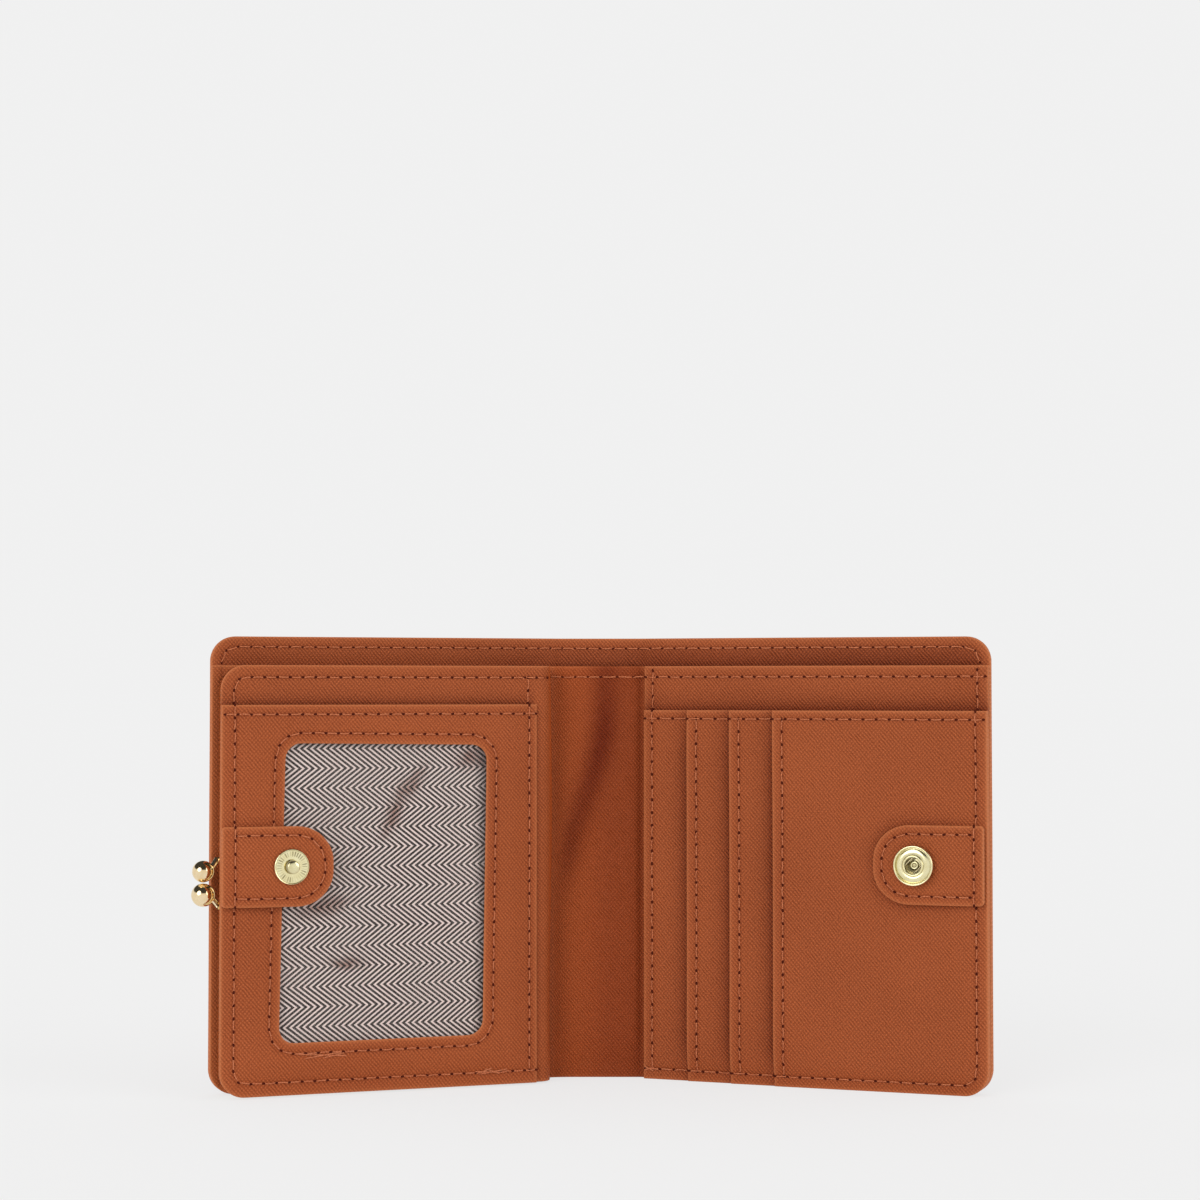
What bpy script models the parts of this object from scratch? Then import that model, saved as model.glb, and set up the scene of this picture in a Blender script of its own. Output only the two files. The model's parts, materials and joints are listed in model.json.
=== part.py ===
# Compact wallet: a bifold wallet with a frame coin purse, standing open like a book.
#
# The left half lies along X and its inside faces -Y. The spine and the right half turn towards
# the viewer on two upright creases. On each half a point has three measures: u, outwards from
# the crease; z, up from the table; t, from the back of the cover towards the viewer.

import math

import bmesh
import bpy
from mathutils import Vector

MM = 0.001

# Overall sizes
COVER_HEIGHT = 110.0 * MM
HALF_WIDTH = 88.0 * MM
SPINE_WIDTH = 23.0 * MM
CORNER_RADIUS = 6.0 * MM
REST_FOLD = math.radians(19.5)

# Space between two pieces that lie on each other
CLEARANCE = 0.3 * MM

# Cover: the leather turns in over the edge of the board
COVER_SKIN = 1.0 * MM
CREASE_DEPTH = 0.55 * MM
HEM_WIDTH = 3.5 * MM
HEM_START = 1.5 * MM
CUT_OVERRUN = 1.0 * MM
BOARD_THICKNESS = 0.5 * MM
SPINE_MARGIN = 0.75 * MM
INNER_START = 0.8 * MM

# Sheets inside the cover
LINING_THICKNESS = 0.5 * MM
DIVIDER_THICKNESS = 0.6 * MM
DIVIDER_HEIGHT = 103.0 * MM
SLIP_PANEL_THICKNESS = 0.6 * MM
CARD_BASE_THICKNESS = 0.6 * MM
CARD_SLOT_THICKNESS = 0.5 * MM
CARD_PANEL_TOP = 92.0 * MM
FIRST_SLOT_EDGE = 12.6 * MM
SLOT_STEP = 11.3 * MM
SLOT_COUNT = 3
SHEET_CHAMFER = 0.12 * MM

# Soft strips between the creases
SPINE_LIFT = 0.5 * MM
SPINE_WAVE = 0.45 * MM
SPINE_WAVES = 1.5

# Coin purse
PURSE_BOTTOM = 0.4 * MM
PURSE_INSET = 0.6 * MM
PURSE_LINING_THICKNESS = 0.3 * MM
PURSE_WALL_THICKNESS = 0.6 * MM
FOLD_THICKNESS = 0.6 * MM
FOLD_REACH = 3.7 * MM
GUSSET_THICKNESS = 0.3 * MM
GUSSET_LENGTH = 42.0 * MM
GUSSET_DEPTH = 7.0 * MM
GUSSET_SEAT = 1.5 * MM

# Purse frame: two channels, each bent round three sides, on a pair of rivets
FRAME_THICKNESS = 2.8 * MM
FRAME_DEPTH = 3.2 * MM
FRAME_WALL = 0.5 * MM
FRAME_EDGE = 0.35 * MM
FRAME_INSET = 0.8 * MM
PIVOT_PLACE = 14.2 * MM
ARM_SETBACK = 4.3 * MM
EAR_REACH = 6.0 * MM
EAR_RADIUS = 1.6 * MM
EAR_NECK_RADIUS = 0.6 * MM
EAR_THICKNESS = 0.6 * MM
RIVET_RADIUS = 0.7 * MM
RIVET_HEAD_RADIUS = 1.5 * MM
RIVET_HEAD_HEIGHT = 0.6 * MM

# Clasp: two balls that stand one above the other and pass when the purse opens
BALL_RADIUS = 2.6 * MM
BALL_OVERHANG = 2.7 * MM
BALL_SPACING = 5.6 * MM
CLASP_HEIGHT = 51.0 * MM
STEM_RADIUS = 0.75 * MM
STEM_SPREAD = 3.6 * MM
STEM_FOOT = 0.4 * MM

# Identity pocket on the purse front
WINDOW_LINING_THICKNESS = 0.3 * MM
WINDOW_LINING_INSET = 1.5 * MM
FILM_THICKNESS = 0.2 * MM
FILM_BORDER = 3.2 * MM
ID_PANEL_THICKNESS = 0.6 * MM
ID_PANEL_TOP = 93.5 * MM
ID_PANEL_START = 8.6 * MM
WINDOW_START = 22.2 * MM
WINDOW_BOTTOM = 12.2 * MM
WINDOW_OUTER_BORDER = 14.2 * MM
WINDOW_TOP_BORDER = 9.8 * MM
WINDOW_RADIUS = 4.5 * MM

# Strap tabs
TAB_LENGTH = 26.6 * MM
TAB_WIDTH = 19.1 * MM
TAB_END_RADIUS = 8.6 * MM
TAB_ROOT_RADIUS = 1.0 * MM
TAB_HEIGHT = 55.0 * MM
TAB_FACE_THICKNESS = 0.7 * MM
TAB_BACKING_THICKNESS = 0.6 * MM
TAB_HINGE_INSET = 0.2 * MM
TAB_HINGE_LIFT = 0.4 * MM

# Snap, shared by the stud and the socket
SNAP_INSET = 16.4 * MM
SNAP_SHANK_RADIUS = 1.6 * MM
SNAP_SHANK_REACH = 0.65 * MM
SNAP_PIN_RADIUS = 0.65 * MM
SNAP_PIN_LENGTH = 1.0 * MM
SNAP_CAP_RADIUS = 3.5 * MM
SNAP_CAP_THICKNESS = 0.45 * MM
SNAP_CAP_ROUND = 0.1 * MM

# Stud
STUD_FLANGE_RADIUS = 4.3 * MM
STUD_FLANGE_HEIGHT = 0.45 * MM
STUD_RIM_HEIGHT = 0.1 * MM
STUD_RIM_WIDTH = 0.35 * MM
STUD_NECK_RADIUS = 1.05 * MM
STUD_NECK_HEIGHT = 1.4 * MM
STUD_HEAD_RADIUS = 1.5 * MM
STUD_HEAD_HEIGHT = 0.75 * MM

# Socket
SOCKET_RADIUS = 4.85 * MM
SOCKET_HEIGHT = 2.3 * MM
SOCKET_BORE_RADIUS = 2.0 * MM
SOCKET_LIP = 0.35 * MM
SOCKET_GROOVE_RADIUS = 3.3 * MM
SOCKET_GROOVE_HEIGHT = 0.7 * MM
SOCKET_LIP_WIDTH = 0.5 * MM
SOCKET_DISH_RADIUS = 3.75 * MM
SOCKET_DISH_DEPTH = 0.5 * MM
SOCKET_RIM_WIDTH = 0.4 * MM
SOCKET_FLOOR = 0.4 * MM
SPRING_WIRE_RADIUS = 0.2 * MM
SPRING_LEG_OFFSET = 1.45 * MM
SPRING_LEG_REACH = 2.3 * MM
SPRING_TURN = math.radians(-45.0)

# Counts
CORNER_STEPS = 7
BALL_SEGMENTS = 24
BALL_RINGS = 14
TURN_STEPS = 32
WAVE_STEPS = 18
FOLD_STEPS = 14
STEM_STEPS = 6

QUARTER = math.pi / 2
HALF_TURN = math.pi
MERGE_DISTANCE = 0.01 * MM
LEFT = -1
RIGHT = 1

collections = {}
materials = {}
bodies = {}


# Levels: where each sheet lies above the back of the cover

def stacked(level, *thicknesses):
    spans = []
    for thickness in thicknesses:
        low = level + CLEARANCE
        level = low + thickness
        spans.append((low, level))
    return spans


BOARD, = stacked(COVER_SKIN, BOARD_THICKNESS)
COVER = (0.0, BOARD[1])
LINING, DIVIDER, FOLD_BACK = stacked(COVER[1], LINING_THICKNESS, DIVIDER_THICKNESS, FOLD_THICKNESS)

PURSE_BACK_LINING, FRAME_BACK, FRAME_FRONT, PURSE_WALL, WINDOW_LINING, FILM, ID_PANEL = stacked(
    DIVIDER[1], PURSE_LINING_THICKNESS, FRAME_THICKNESS, FRAME_THICKNESS, PURSE_WALL_THICKNESS,
    WINDOW_LINING_THICKNESS, FILM_THICKNESS, ID_PANEL_THICKNESS)
PURSE_FRONT_LINING = (FRAME_FRONT[1] - PURSE_LINING_THICKNESS, FRAME_FRONT[1])
STUD_BACKING, STUD_FACE = stacked(ID_PANEL[1], TAB_BACKING_THICKNESS, TAB_FACE_THICKNESS)

SLIP_PANEL, CARD_BASE = stacked(DIVIDER[1], SLIP_PANEL_THICKNESS, CARD_BASE_THICKNESS)
CARD_SLOTS = stacked(CARD_BASE[1], *[CARD_SLOT_THICKNESS] * SLOT_COUNT)
SOCKET_BACKING, SOCKET_FACE = stacked(CARD_SLOTS[-1][1], TAB_BACKING_THICKNESS,
                                      TAB_FACE_THICKNESS)

PURSE_TOP = DIVIDER_HEIGHT
PURSE_MIDDLE = (PURSE_TOP + PURSE_BOTTOM) / 2
PURSE_EDGE = HALF_WIDTH - PURSE_INSET
FRAME_OUTER_EDGE = PURSE_EDGE - FRAME_INSET
FRAME_TOP = PURSE_TOP - FRAME_INSET
FRAME_BOTTOM = PURSE_BOTTOM + FRAME_INSET
FRAME_RADIUS = CORNER_RADIUS - FRAME_INSET
PIVOT_LEVEL = (FRAME_BACK[1] + FRAME_FRONT[0]) / 2
WALL_START = PIVOT_PLACE + FOLD_THICKNESS
TAB_EDGE = PURSE_EDGE
TAB_TIP = TAB_EDGE - TAB_LENGTH
SNAP_PLACE = TAB_EDGE - SNAP_INSET
STRIP_HALF_WIDTH = SPINE_WIDTH / 2 - SPINE_MARGIN


# Scene, materials and bodies

def clear_scene():
    for obj in list(bpy.data.objects):
        bpy.data.objects.remove(obj, do_unlink=True)


def make_collections():
    for name in ("compact_wallet", "cutters"):
        collection = bpy.data.collections.new(name)
        bpy.context.scene.collection.children.link(collection)
        collections[name] = collection


def make_material(name, colour, roughness, metallic=0.0, alpha=1.0):
    material = bpy.data.materials.new(name)
    material.use_nodes = True
    shader = material.node_tree.nodes["Principled BSDF"]
    shader.inputs["Base Color"].default_value = (*colour, 1.0)
    shader.inputs["Roughness"].default_value = roughness
    shader.inputs["Metallic"].default_value = metallic
    shader.inputs["Alpha"].default_value = alpha
    materials[name] = material


def make_materials():
    make_material("leather", (0.41, 0.13, 0.045), 0.55)
    make_material("board", (0.45, 0.42, 0.38), 0.9)
    make_material("purse_cloth", (0.30, 0.22, 0.17), 0.85)
    make_material("herringbone", (0.55, 0.48, 0.45), 0.8)
    make_material("film", (0.9, 0.9, 0.9), 0.1, alpha=0.25)
    make_material("gold", (0.83, 0.67, 0.38), 0.2, metallic=1.0)


def make_body(name, parent, u, t, side, turn=0.0):
    """An empty on the joint axis of a body, given in its half's measures."""
    body = bpy.data.objects.new(name, None)
    collections["compact_wallet"].objects.link(body)
    origin = Vector((side * u, CREASE_DEPTH - t, 0.0))
    if parent:
        body.parent = bodies[parent]["empty"]
        body.location = origin - bodies[parent]["origin"]
    body.rotation_euler.z = turn
    bodies[name] = {"empty": body, "origin": origin if parent else Vector(), "side": side}


def make_bodies():
    make_body("back_half", None, 0.0, CREASE_DEPTH, LEFT)
    make_body("spine", "back_half", 0.0, CREASE_DEPTH, RIGHT, -REST_FOLD)
    make_body("front_half", "spine", SPINE_WIDTH, CREASE_DEPTH, RIGHT, -REST_FOLD)
    bodies["front_half"]["origin"] = Vector()
    make_body("purse_front", "back_half", PIVOT_PLACE, PIVOT_LEVEL, LEFT)
    hinge = TAB_EDGE - TAB_HINGE_INSET
    make_body("stud_tab", "purse_front", hinge, STUD_BACKING[0] + TAB_HINGE_LIFT, LEFT)
    make_body("socket_tab", "front_half", hinge, SOCKET_BACKING[0] + TAB_HINGE_LIFT, RIGHT)


def place(obj, body, material, u=0.0, t=CREASE_DEPTH, z=0.0, rotation=(0.0, 0.0, 0.0)):
    """Parent a piece to its body, at u, t and z of the body's half."""
    home = bodies[body]
    obj.parent = home["empty"]
    obj.location = Vector((home["side"] * u, CREASE_DEPTH - t, z)) - home["origin"]
    obj.rotation_euler = rotation
    obj.data.materials.clear()
    obj.data.materials.append(materials[material])
    return obj


# Outlines

def arc(centre, radius, start, end, steps):
    points = []
    for step in range(steps + 1):
        angle = start + (end - start) * step / steps
        points.append((centre[0] + radius * math.cos(angle), centre[1] + radius * math.sin(angle)))
    return points


def panel_outline(side, u0, u1, z0, z1, outer_bottom=0.0, outer_top=0.0, inner=0.0):
    """A panel between u0 and u1, with round corners at its outer edge and its inner one."""
    corners = [(u0, z0, inner, 2), (u1, z0, outer_bottom, 3), (u1, z1, outer_top, 0), (u0, z1, inner, 1)]
    points = []
    for u, z, radius, quadrant in corners:
        if not radius:
            points.append((u, z))
            continue
        centre = (u + (radius if u == u0 else -radius), z + (radius if z == z0 else -radius))
        start = quadrant * QUARTER
        points += arc(centre, radius, start, start + QUARTER, CORNER_STEPS)
    if side == LEFT:
        points = [(-u, z) for u, z in reversed(points)]
    return points


def ribbon_outline(line, thickness):
    """The outline of a strip seen edge on, half its thickness to each side of a line."""
    count = len(line)
    sides = ([], [])
    for index, point in enumerate(line):
        before = Vector(line[max(index - 1, 0)])
        after = Vector(line[min(index + 1, count - 1)])
        along = (after - before).normalized()
        across = Vector((-along.y, along.x)) * thickness / 2
        sides[0].append(tuple(Vector(point) + across))
        sides[1].append(tuple(Vector(point) - across))
    return sides[0] + sides[1][::-1]


def link_outline(start, start_radius, end, end_radius):
    """Two circles and the straight sides that touch both."""
    run = Vector(end) - Vector(start)
    heading = math.atan2(run.y, run.x)
    spread = math.acos((start_radius - end_radius) / run.length)
    back = arc(start, start_radius, heading + spread, heading + 2 * HALF_TURN - spread, 2 * CORNER_STEPS)
    front = arc(end, end_radius, heading - spread, heading + spread, CORNER_STEPS)
    return back + front


# Ways of making a piece

def add_spline(curve, points, cyclic=True):
    spline = curve.splines.new("POLY")
    spline.points.add(len(points) - 1)
    for target, point in zip(spline.points, points):
        target.co = (*point, 0.0, 1.0) if len(point) == 2 else (*point, 1.0)
    spline.use_cyclic_u = cyclic


def flat_piece(name, outlines, depth, chamfer=0.0, collection="compact_wallet"):
    """A flat outline, with holes, extruded by half its depth to each side."""
    curve = bpy.data.curves.new(name, "CURVE")
    curve.dimensions = "2D"
    curve.fill_mode = "BOTH"
    curve.extrude = depth / 2 - chamfer
    curve.bevel_depth = chamfer
    curve.bevel_resolution = 0
    curve.offset = -chamfer
    for points in outlines:
        add_spline(curve, points)
    obj = bpy.data.objects.new(name, curve)
    collections[collection].objects.link(obj)
    return obj


def as_mesh(obj):
    """Replace a curve object by a mesh one whose caps are welded on."""
    bpy.context.view_layer.update()
    evaluated = obj.evaluated_get(bpy.context.evaluated_depsgraph_get())
    mesh = bpy.data.meshes.new_from_object(evaluated)
    work = bmesh.new()
    work.from_mesh(mesh)
    bmesh.ops.remove_doubles(work, verts=work.verts, dist=MERGE_DISTANCE)
    bmesh.ops.recalc_face_normals(work, faces=work.faces)
    work.to_mesh(mesh)
    work.free()
    name = obj.name
    collection = obj.users_collection[0]
    matrix = obj.matrix_world.copy()
    bpy.data.objects.remove(obj, do_unlink=True)
    solid = bpy.data.objects.new(name, mesh)
    collection.objects.link(solid)
    solid.matrix_world = matrix
    return solid


def as_cutter(obj):
    obj.hide_render = True
    obj.display_type = "WIRE"
    return obj


def combine(obj, other, operation):
    modifier = obj.modifiers.new(operation.lower(), "BOOLEAN")
    modifier.operation = operation
    modifier.object = as_cutter(other)


def turned_piece(name, profile):
    """A profile of (radius, height) points, from the top of the axis down the outside."""
    mesh = bpy.data.meshes.new(name)
    edges = [(index, index + 1) for index in range(len(profile) - 1)]
    mesh.from_pydata([(radius, 0.0, height) for radius, height in profile], edges, [])
    obj = bpy.data.objects.new(name, mesh)
    collections["compact_wallet"].objects.link(obj)
    screw = obj.modifiers.new("turn", "SCREW")
    screw.steps = TURN_STEPS
    screw.render_steps = TURN_STEPS
    screw.use_merge_vertices = True
    screw.merge_threshold = MERGE_DISTANCE
    screw.use_smooth_shade = True
    return obj


def wire_piece(name, points, radius, collection="compact_wallet"):
    curve = bpy.data.curves.new(name, "CURVE")
    curve.dimensions = "3D"
    curve.bevel_depth = radius
    curve.bevel_resolution = 2
    curve.use_fill_caps = True
    add_spline(curve, points, cyclic=False)
    obj = bpy.data.objects.new(name, curve)
    collections[collection].objects.link(obj)
    return obj


def sheet(name, body, material, span, outlines):
    """A leather or cloth sheet that fills the span of levels, on the inside of its half."""
    obj = flat_piece(name, outlines, span[1] - span[0], min(SHEET_CHAMFER, (span[1] - span[0]) / 4))
    return place(obj, body, material, t=(span[0] + span[1]) / 2, rotation=(QUARTER, 0.0, 0.0))


# Cover, linings and divider

def recess_outline(side):
    """Inside the turned edge, and the whole strip along the crease, where the leather is single."""
    low = HEM_WIDTH - CLEARANCE
    high = COVER_HEIGHT - low
    radius = CORNER_RADIUS - low
    points = panel_outline(RIGHT, HEM_START, HALF_WIDTH - low, low, high, outer_bottom=radius,
                           outer_top=radius)
    below = -CUT_OVERRUN
    above = COVER_HEIGHT + CUT_OVERRUN
    points += [(HEM_START, above), (0.0, above), (0.0, below), (HEM_START, below)]
    return [(side * u, z) for u, z in points[::side]]


def make_cover_half(name, body, side):
    outline = panel_outline(side, CLEARANCE, HALF_WIDTH, 0.0, COVER_HEIGHT,
                            outer_bottom=CORNER_RADIUS, outer_top=CORNER_RADIUS)
    depth = COVER[1] - COVER[0]
    cover = as_mesh(flat_piece(name, [outline], depth, SHEET_CHAMFER))
    place(cover, body, "leather", t=depth / 2, rotation=(QUARTER, 0.0, 0.0))
    reach = 2 * (COVER[1] - COVER_SKIN)
    cutter = as_mesh(flat_piece(name + "_recess", [recess_outline(side)], reach,
                                collection="cutters"))
    place(cutter, body, "leather", t=COVER[1], rotation=(QUARTER, 0.0, 0.0))
    combine(cover, cutter, "DIFFERENCE")


def make_board(name, body, side):
    radius = CORNER_RADIUS - HEM_WIDTH
    outline = panel_outline(side, HEM_START + CLEARANCE, HALF_WIDTH - HEM_WIDTH, HEM_WIDTH,
                            COVER_HEIGHT - HEM_WIDTH, outer_bottom=radius, outer_top=radius)
    sheet(name, body, "board", BOARD, [outline])


def make_cover_linings(suffix, body, side):
    lining = panel_outline(side, INNER_START, HALF_WIDTH, 0.0, COVER_HEIGHT,
                           outer_bottom=CORNER_RADIUS, outer_top=CORNER_RADIUS)
    sheet("cover_lining_" + suffix, body, "leather", LINING, [lining])
    divider = panel_outline(side, INNER_START, HALF_WIDTH, 0.0, DIVIDER_HEIGHT,
                            outer_bottom=CORNER_RADIUS)
    sheet("divider_" + suffix, body, "leather", DIVIDER, [divider])


def spine_line(level, wave):
    """A line across the spine, in plan, that waves a little as soft leather does."""
    points = []
    for step in range(WAVE_STEPS + 1):
        share = step / WAVE_STEPS
        x = SPINE_WIDTH / 2 + STRIP_HALF_WIDTH * (2 * share - 1)
        swing = wave * (1 - math.cos(2 * HALF_TURN * SPINE_WAVES * share)) / 2
        points.append((x, CREASE_DEPTH - level - swing))
    return points


def make_spine_strip(name, level, thickness, wave, bottom, top):
    outline = ribbon_outline(spine_line(level + thickness / 2, wave), thickness)
    strip = flat_piece(name, [outline], top - bottom)
    place(strip, "spine", "leather", z=(bottom + top) / 2)


def make_spine():
    make_spine_strip("cover_spine", 0.0, COVER_SKIN, 0.0, 0.0, COVER_HEIGHT)
    lining, divider = stacked(COVER_SKIN, LINING_THICKNESS, DIVIDER_THICKNESS)
    make_spine_strip("lining_spine", lining[0], LINING_THICKNESS, SPINE_WAVE, SPINE_LIFT, COVER_HEIGHT)
    make_spine_strip("divider_spine", divider[0], DIVIDER_THICKNESS, SPINE_WAVE, SPINE_LIFT,
                     DIVIDER_HEIGHT)


# Card side

def make_card_panels():
    slip = panel_outline(RIGHT, INNER_START, HALF_WIDTH, 0.0, DIVIDER_HEIGHT,
                         outer_bottom=CORNER_RADIUS)
    sheet("slip_pocket_panel", "front_half", "leather", SLIP_PANEL, [slip])
    base = panel_outline(RIGHT, INNER_START, HALF_WIDTH, 0.0, CARD_PANEL_TOP,
                         outer_bottom=CORNER_RADIUS)
    sheet("card_base_panel", "front_half", "leather", CARD_BASE, [base])
    for index, span in enumerate(CARD_SLOTS):
        edge = FIRST_SLOT_EDGE + SLOT_STEP * index
        slot = panel_outline(RIGHT, edge, HALF_WIDTH, 0.0, CARD_PANEL_TOP, outer_bottom=CORNER_RADIUS)
        sheet("card_slot_%d" % (index + 1), "front_half", "leather", span, [slot])


# Purse frame

def channel_profile():
    """The section of a frame half: a channel that is open towards the purse."""
    outer = FRAME_DEPTH / 2
    half = FRAME_THICKNESS / 2
    lip = half - FRAME_WALL
    web = outer - FRAME_WALL
    curve = bpy.data.curves.new("channel_profile", "CURVE")
    curve.dimensions = "2D"
    curve.fill_mode = "NONE"
    add_spline(curve, [(outer, FRAME_EDGE - half), (outer, half - FRAME_EDGE),
                       (outer - FRAME_EDGE, half), (-outer, half), (-outer, lip), (web, lip),
                       (web, -lip), (-outer, -lip), (-outer, -half), (outer - FRAME_EDGE, -half)])
    profile = bpy.data.objects.new("channel_profile", curve)
    collections["cutters"].objects.link(profile)
    return as_cutter(profile)


def frame_path():
    """The middle of the channel: along the top arm, down the outer side, back along the bottom."""
    half = FRAME_DEPTH / 2
    low = FRAME_BOTTOM + half
    high = FRAME_TOP - half
    outer = FRAME_OUTER_EDGE - half
    radius = FRAME_RADIUS - half
    start = PIVOT_PLACE + ARM_SETBACK
    points = [(start, low)]
    points += arc((outer - radius, low + radius), radius, -QUARTER, 0.0, CORNER_STEPS)
    points += arc((outer - radius, high - radius), radius, 0.0, QUARTER, CORNER_STEPS)
    points.append((start, high))
    return [(-u, z) for u, z in reversed(points)]


def make_ear(name, body, level, height):
    """A flat ear in plan, round about the pivot, that runs into the arm of its channel."""
    pivot = (-PIVOT_PLACE, CREASE_DEPTH - PIVOT_LEVEL)
    root = (-PIVOT_PLACE - EAR_REACH, CREASE_DEPTH - level)
    ear = as_mesh(flat_piece(name, [link_outline(pivot, EAR_RADIUS, root, EAR_NECK_RADIUS)],
                             EAR_THICKNESS, collection="cutters"))
    return place(ear, body, "gold", z=height)


def make_pin_cutter(name, body, radius, height):
    mesh = bpy.data.meshes.new(name)
    work = bmesh.new()
    bmesh.ops.create_cone(work, cap_ends=True, segments=TURN_STEPS, radius1=radius, radius2=radius,
                          depth=2 * FRAME_DEPTH)
    work.to_mesh(mesh)
    work.free()
    cutter = bpy.data.objects.new(name, mesh)
    collections["cutters"].objects.link(cutter)
    return place(cutter, body, "gold", u=PIVOT_PLACE, t=PIVOT_LEVEL, z=height)


def ear_heights():
    """The middle of the front ear and of the back ear, measured down from the frame's top."""
    front = EAR_THICKNESS / 2
    back = front + EAR_THICKNESS + CLEARANCE
    return front, back


def make_frame_half(name, body, span, profile, depth):
    curve = bpy.data.curves.new(name, "CURVE")
    curve.dimensions = "2D"
    curve.fill_mode = "NONE"
    curve.bevel_mode = "OBJECT"
    curve.bevel_object = profile
    curve.use_fill_caps = True
    add_spline(curve, frame_path(), cyclic=False)
    channel = bpy.data.objects.new(name, curve)
    collections["compact_wallet"].objects.link(channel)
    channel = as_mesh(channel)
    level = (span[0] + span[1]) / 2
    place(channel, body, "gold", t=level, rotation=(QUARTER, 0.0, 0.0))
    for side, height in (("top", FRAME_TOP - depth), ("bottom", FRAME_BOTTOM + depth)):
        combine(channel, make_ear(name + "_ear_" + side, body, level, height), "UNION")
        hole = make_pin_cutter(name + "_hole_" + side, body, RIVET_RADIUS + CLEARANCE, height)
        combine(channel, hole, "DIFFERENCE")
    return channel


def make_rivet(name, flip):
    """A rivet through both ears, its outer head above the front one."""
    front, back = ear_heights()
    top = RIVET_HEAD_HEIGHT + CLEARANCE
    under = CLEARANCE
    low = back + EAR_THICKNESS / 2 + CLEARANCE
    crown = RIVET_HEAD_HEIGHT / 3
    profile = [(0.0, top), (RIVET_HEAD_RADIUS - crown, top), (RIVET_HEAD_RADIUS, top - crown),
               (RIVET_HEAD_RADIUS, under), (RIVET_RADIUS, under), (RIVET_RADIUS, -low),
               (RIVET_HEAD_RADIUS, -low), (RIVET_HEAD_RADIUS, -low - RIVET_HEAD_HEIGHT),
               (0.0, -low - RIVET_HEAD_HEIGHT)]
    rivet = turned_piece(name, profile)
    height = FRAME_BOTTOM if flip else FRAME_TOP
    turn = (HALF_TURN, 0.0, 0.0) if flip else (0.0, 0.0, 0.0)
    place(rivet, "back_half", "gold", u=PIVOT_PLACE, t=PIVOT_LEVEL, z=height, rotation=turn)


def make_clasp_ball(name, body, span, offset):
    """A ball outside the edge, on a stem that leans in from its own half of the frame."""
    mesh = bpy.data.meshes.new(name)
    work = bmesh.new()
    bmesh.ops.create_uvsphere(work, u_segments=BALL_SEGMENTS, v_segments=BALL_RINGS,
                              radius=BALL_RADIUS)
    work.to_mesh(mesh)
    work.free()
    mesh.shade_smooth()
    ball = bpy.data.objects.new(name, mesh)
    collections["compact_wallet"].objects.link(ball)
    ball_u = HALF_WIDTH + BALL_OVERHANG
    height = CLASP_HEIGHT + offset
    place(ball, body, "gold", u=ball_u, t=PIVOT_LEVEL, z=height)
    away = math.copysign(STEM_SPREAD, offset)
    foot = Vector((FRAME_OUTER_EDGE + STEM_FOOT - ball_u, (span[0] + span[1]) / 2 - PIVOT_LEVEL, away))
    points = []
    for step in range(STEM_STEPS + 1):
        share = step / STEM_STEPS
        out = math.sin(QUARTER * share)
        points.append((-foot.x * (1 - out), -foot.y * (1 - share), foot.z * (1 - out ** 2)))
    stem = as_mesh(wire_piece(name + "_stem", points, STEM_RADIUS, "cutters"))
    place(stem, body, "gold", u=ball_u, t=PIVOT_LEVEL, z=height)
    combine(ball, stem, "UNION")


def make_purse_frame():
    profile = channel_profile()
    front, back = ear_heights()
    make_frame_half("purse_frame_back", "back_half", FRAME_BACK, profile, back)
    make_frame_half("purse_frame_front", "purse_front", FRAME_FRONT, profile, front)
    bpy.data.objects.remove(profile, do_unlink=True)
    make_rivet("pivot_rivet_top", False)
    make_rivet("pivot_rivet_bottom", True)
    make_clasp_ball("clasp_ball_back", "back_half", FRAME_BACK, BALL_SPACING / 2)
    make_clasp_ball("clasp_ball_front", "purse_front", FRAME_FRONT, -BALL_SPACING / 2)


# Purse leather and cloth

def frame_opening_outline():
    """The inside of the frame, clear of the channel's lips."""
    inset = FRAME_DEPTH + CLEARANCE
    radius = FRAME_RADIUS - FRAME_DEPTH
    return panel_outline(LEFT, WALL_START, FRAME_OUTER_EDGE - inset, FRAME_BOTTOM + inset,
                         FRAME_TOP - inset, outer_bottom=radius, outer_top=radius)


def make_purse_walls():
    wall = panel_outline(LEFT, WALL_START, PURSE_EDGE, PURSE_BOTTOM, PURSE_TOP,
                         outer_bottom=CORNER_RADIUS, outer_top=CORNER_RADIUS)
    sheet("purse_front_wall", "purse_front", "leather", PURSE_WALL, [wall])
    sheet("purse_front_lining", "purse_front", "purse_cloth", PURSE_FRONT_LINING,
          [frame_opening_outline()])
    back = panel_outline(LEFT, WALL_START, PURSE_EDGE - HEM_WIDTH, HEM_WIDTH, PURSE_TOP - HEM_WIDTH)
    sheet("purse_back_lining", "back_half", "purse_cloth", PURSE_BACK_LINING, [back])


def make_purse_fold():
    """The leather that wraps the closed side of the purse, from the divider to the front wall."""
    back = (FOLD_BACK[0] + FOLD_BACK[1]) / 2
    front = (PURSE_WALL[0] + PURSE_WALL[1]) / 2
    radius = (front - back) / 2
    centre = (-(FOLD_REACH + FOLD_THICKNESS / 2 + radius), CREASE_DEPTH - (front + back) / 2)
    end = CLEARANCE - WALL_START
    line = [(end, centre[1] + radius)]
    line += arc(centre, radius, QUARTER, -QUARTER, FOLD_STEPS)
    line.append((end, centre[1] - radius))
    fold = flat_piece("purse_fold", [ribbon_outline(line, FOLD_THICKNESS)], PURSE_TOP - PURSE_BOTTOM)
    place(fold, "back_half", "leather", z=PURSE_MIDDLE)


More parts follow.
